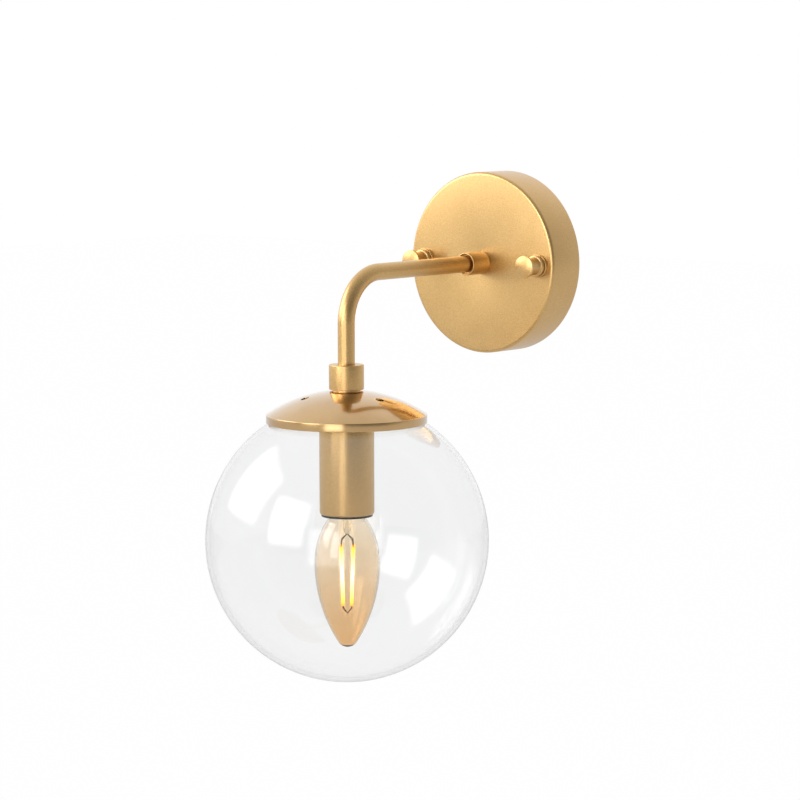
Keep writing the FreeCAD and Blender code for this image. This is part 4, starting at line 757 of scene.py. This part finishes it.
def filament_spots(extra):
    """Top and foot of each filament, with a stretch taken off both ends."""
    spots = []
    for index in range(4):
        angle = math.radians(85 + 90 * index)
        top = Vector((4.6 * math.cos(angle), 4.6 * math.sin(angle) - arm_reach, -143.5))
        foot = Vector((3.2 * math.cos(angle), 3.2 * math.sin(angle) - arm_reach, -176.0))
        way = (foot - top).normalized()
        spots.append((top + way * extra, foot - way * extra))
    return spots


def lit_filament():
    """Yellow coating that glows, brighter in the middle of each filament."""
    material = bpy.data.materials.new("lit_filament")
    material.use_nodes = True
    nodes, links = material.node_tree.nodes, material.node_tree.links
    shader = nodes["Principled BSDF"]
    shader.inputs["Roughness"].default_value = 0.45
    shader.inputs["Emission Strength"].default_value = 2.4
    place = nodes.new("ShaderNodeTexCoord")
    split = nodes.new("ShaderNodeSeparateXYZ")
    span = nodes.new("ShaderNodeMapRange")
    span.inputs["From Min"].default_value = -0.1435
    span.inputs["From Max"].default_value = -0.1760
    glow = nodes.new("ShaderNodeValToRGB")
    stops = glow.color_ramp.elements
    stops[0].position = 0.0
    stops[0].color = srgb(240, 160, 30)
    stops[1].position = 1.0
    stops[1].color = srgb(238, 150, 24)
    inner_stops = ((0.1, srgb(252, 212, 84)), (0.5, srgb(255, 252, 225)), (0.9, srgb(252, 208, 76)))
    for position, colour in inner_stops:
        stops.new(position).color = colour
    links.new(place.outputs["Object"], split.inputs["Vector"])
    links.new(split.outputs["Z"], span.inputs["Value"])
    links.new(span.outputs["Result"], glow.inputs["Fac"])
    links.new(glow.outputs["Color"], shader.inputs["Base Color"])
    links.new(glow.outputs["Color"], shader.inputs["Emission Color"])
    return material


filament_radius, wire_radius, lead_radius = 0.85, 0.22, 0.3
filaments = rods("bulb_filaments", [(top, foot, filament_radius) for top, foot in filament_spots(0.4)])
fitted(filaments, lit_filament(), "bulb", "filament_yellow", "bulb_filaments")

support_metal = finish(
    "support_wire", srgb(96, 80, 62), srgb(130, 112, 88), (0.3, 0.45), 1.0, (500, 3000, 0.3), 0.0
)
wire_runs = []
for top, foot in filament_spots(0.0):
    way = (foot - top).normalized()
    shoulder = Vector((top.x * 0.9, (top.y + arm_reach) * 0.9 - arm_reach, -140.6))
    end = foot + Vector((0, 0, -1.2))
    wire_runs.append((Vector((0, -arm_reach, -137.4)), shoulder, wire_radius))
    wire_runs.append((shoulder, top + way * 0.5, lead_radius))
    wire_runs.append((foot - way * 0.5, end, lead_radius))
    wire_runs.append((end, Vector((0, -arm_reach, -180.0)), wire_radius))
fitted(rods("bulb_wires", wire_runs, 10), support_metal, "bulb", "support_wire", "bulb_wires")

# Studio. A pale floor far below, three soft boxes in front and to the left, and a white room whose
# side towards the camera is dimmer, all at a plain level.


def seen_straight(nodes, links):
    """1 for a ray from the camera that met nothing but glass yet, or turned only in the globe's wall."""
    path = nodes.new("ShaderNodeLightPath")
    bounces = nodes.new("ShaderNodeMath")
    bounces.operation = "ADD"
    through = nodes.new("ShaderNodeMath")
    through.operation = "SUBTRACT"
    through.use_clamp = True
    either = nodes.new("ShaderNodeMath")
    either.operation = "MAXIMUM"
    links.new(path.outputs["Diffuse Depth"], bounces.inputs[0])
    links.new(path.outputs["Glossy Depth"], bounces.inputs[1])
    links.new(path.outputs["Is Transmission Ray"], through.inputs[0])
    links.new(bounces.outputs["Value"], through.inputs[1])
    links.new(path.outputs["Is Camera Ray"], either.inputs[0])
    links.new(through.outputs["Value"], either.inputs[1])
    one_wall = nodes.new("ShaderNodeMath")
    one_wall.operation = "COMPARE"
    one_wall.inputs[1].default_value = 2.0
    one_wall.inputs[2].default_value = 0.5
    leaving = nodes.new("ShaderNodeMath")
    leaving.operation = "MULTIPLY"
    white = nodes.new("ShaderNodeMath")
    white.operation = "MAXIMUM"
    links.new(path.outputs["Transmission Depth"], one_wall.inputs[0])
    links.new(one_wall.outputs["Value"], leaving.inputs[0])
    links.new(path.outputs["Is Transmission Ray"], leaving.inputs[1])
    links.new(either.outputs["Value"], white.inputs[0])
    links.new(leaving.outputs["Value"], white.inputs[1])
    return path, white.outputs["Value"]


def pale_floor():
    """White floor that still keeps a soft shadow."""
    material = bpy.data.materials.new("studio_floor")
    material.use_nodes = True
    nodes, links = material.node_tree.nodes, material.node_tree.links
    shader = nodes["Principled BSDF"]
    shader.inputs["Base Color"].default_value = (0.9, 0.9, 0.9, 1.0)
    shader.inputs["Roughness"].default_value = 0.8
    white = nodes.new("ShaderNodeEmission")
    path, straight = seen_straight(nodes, links)
    level = nodes.new("ShaderNodeMapRange")
    level.inputs["To Min"].default_value = 0.75
    level.inputs["To Max"].default_value = 1.0
    lit = nodes.new("ShaderNodeMath")
    lit.operation = "MAXIMUM"
    share = nodes.new("ShaderNodeMath")
    share.operation = "MULTIPLY"
    share.inputs[1].default_value = 0.985
    mixed = nodes.new("ShaderNodeMixShader")
    links.new(straight, level.inputs["Value"])
    links.new(level.outputs["Result"], white.inputs["Strength"])
    links.new(straight, lit.inputs[0])
    links.new(path.outputs["Is Glossy Ray"], lit.inputs[1])
    links.new(lit.outputs["Value"], share.inputs[0])
    links.new(share.outputs["Value"], mixed.inputs["Fac"])
    links.new(shader.outputs["BSDF"], mixed.inputs[1])
    links.new(white.outputs["Emission"], mixed.inputs[2])
    links.new(mixed.outputs["Shader"], nodes["Material Output"].inputs["Surface"])
    return material


floor_mesh = bpy.data.meshes.new("studio_floor")
half, low = 9.0, -0.75
corners = [(-half, -half, low), (half, -half, low), (half, half, low), (-half, half, low)]
floor_mesh.from_pydata(corners, [], [(0, 1, 2, 3)])
floor_mesh.materials.append(pale_floor())
floor = bpy.data.objects.new("studio_floor", floor_mesh)
bpy.context.scene.collection.objects.link(floor)

lamp_centre = Vector((0.0, -arm_reach / 1000, -0.141))


def soft_box(name, direction, distance, width, height, power):
    """A rectangular soft box that looks at the globe."""
    light = bpy.data.lights.new(name, "AREA")
    light.shape = "RECTANGLE"
    light.size = width
    light.size_y = height
    light.energy = power
    box = bpy.data.objects.new(name, light)
    way = Vector(direction).normalized()
    box.location = lamp_centre + way * distance
    box.rotation_euler = way.to_track_quat("Z", "Y").to_euler()
    bpy.context.scene.collection.objects.link(box)
    light.use_nodes = True
    nodes, links = light.node_tree.nodes, light.node_tree.links
    place = nodes.new("ShaderNodeTexCoord")
    split = nodes.new("ShaderNodeSeparateXYZ")
    links.new(place.outputs["UV"], split.inputs["Vector"])
    fade = nodes.new("ShaderNodeMath")
    fade.operation = "MULTIPLY"
    for number, side in enumerate(("X", "Y")):
        middle = nodes.new("ShaderNodeMath")
        middle.operation = "PINGPONG"
        middle.inputs[1].default_value = 0.5
        edge = nodes.new("ShaderNodeMapRange")
        edge.interpolation_type = "SMOOTHSTEP"
        edge.inputs["From Max"].default_value = 0.16
        edge.inputs["To Min"].default_value = 0.15
        links.new(split.outputs[side], middle.inputs[0])
        links.new(middle.outputs["Value"], edge.inputs["Value"])
        links.new(edge.outputs["Result"], fade.inputs[number])
    links.new(fade.outputs["Value"], nodes["Emission"].inputs["Strength"])
    return box


soft_box("left_soft_box", (-0.754, -0.441, 0.487), 1.2, 0.95, 0.87, 8.5)
soft_box("front_soft_box", (-0.156, -0.932, 0.326), 1.2, 0.72, 0.79, 7.0)
soft_box("camera_soft_box", (0.391, -0.919, 0.052), 2.2, 1.15, 1.3, 9.0)

world = bpy.data.worlds.new("white_room")
bpy.context.scene.world = world
world.use_nodes = True
nodes, links = world.node_tree.nodes, world.node_tree.links
room = nodes["Background"]
room.inputs["Color"].default_value = (1.0, 1.0, 1.0, 1.0)
place = nodes.new("ShaderNodeTexCoord")
facing = nodes.new("ShaderNodeVectorMath")
facing.operation = "DOT_PRODUCT"
facing.inputs[1].default_value = (0.80, -0.55, -0.10)
shade = nodes.new("ShaderNodeMapRange")
shade.inputs["From Min"].default_value = -0.6
shade.inputs["From Max"].default_value = 0.75
shade.inputs["To Min"].default_value = 1.0
shade.inputs["To Max"].default_value = 0.25
level = nodes.new("ShaderNodeMix")
level.inputs["B"].default_value = 1.0
links.new(place.outputs["Generated"], facing.inputs[0])
links.new(facing.outputs["Value"], shade.inputs["Value"])
links.new(seen_straight(nodes, links)[1], level.inputs["Factor"])
links.new(shade.outputs["Result"], level.inputs["A"])
links.new(level.outputs["Result"], room.inputs["Strength"])

view = bpy.context.scene.view_settings
view.view_transform = "Standard"

# Camera at the photograph's place: 40 degrees round to the right of the wall's normal and a
# little above the globe, 1.6 m away with a long lens.

lens = bpy.data.cameras.new("photo_camera")
lens.sensor_width = 36.0
lens.lens = 133.48
lens.clip_end = 60.0
camera = bpy.data.objects.new("photo_camera", lens)
bpy.context.scene.collection.objects.link(camera)
target = Vector((-0.002953, -0.090, -0.070649))
turn, tilt, roll = math.radians(40.296), math.radians(6.686), math.radians(-0.136)
camera_distance = 1.6
back = Vector((math.sin(turn) * math.cos(tilt), -math.cos(turn) * math.cos(tilt), math.sin(tilt)))
right = Vector((math.cos(turn), math.sin(turn), 0.0))
up = back.cross(right)
across = right * math.cos(roll) + up * math.sin(roll)
upright = up * math.cos(roll) - right * math.sin(roll)
spot = target + back * camera_distance
camera.matrix_world = Matrix(
    (
        (across.x, upright.x, back.x, spot.x),
        (across.y, upright.y, back.y, spot.y),
        (across.z, upright.z, back.z, spot.z),
        (0.0, 0.0, 0.0, 1.0),
    )
)
bpy.context.scene.camera = camera
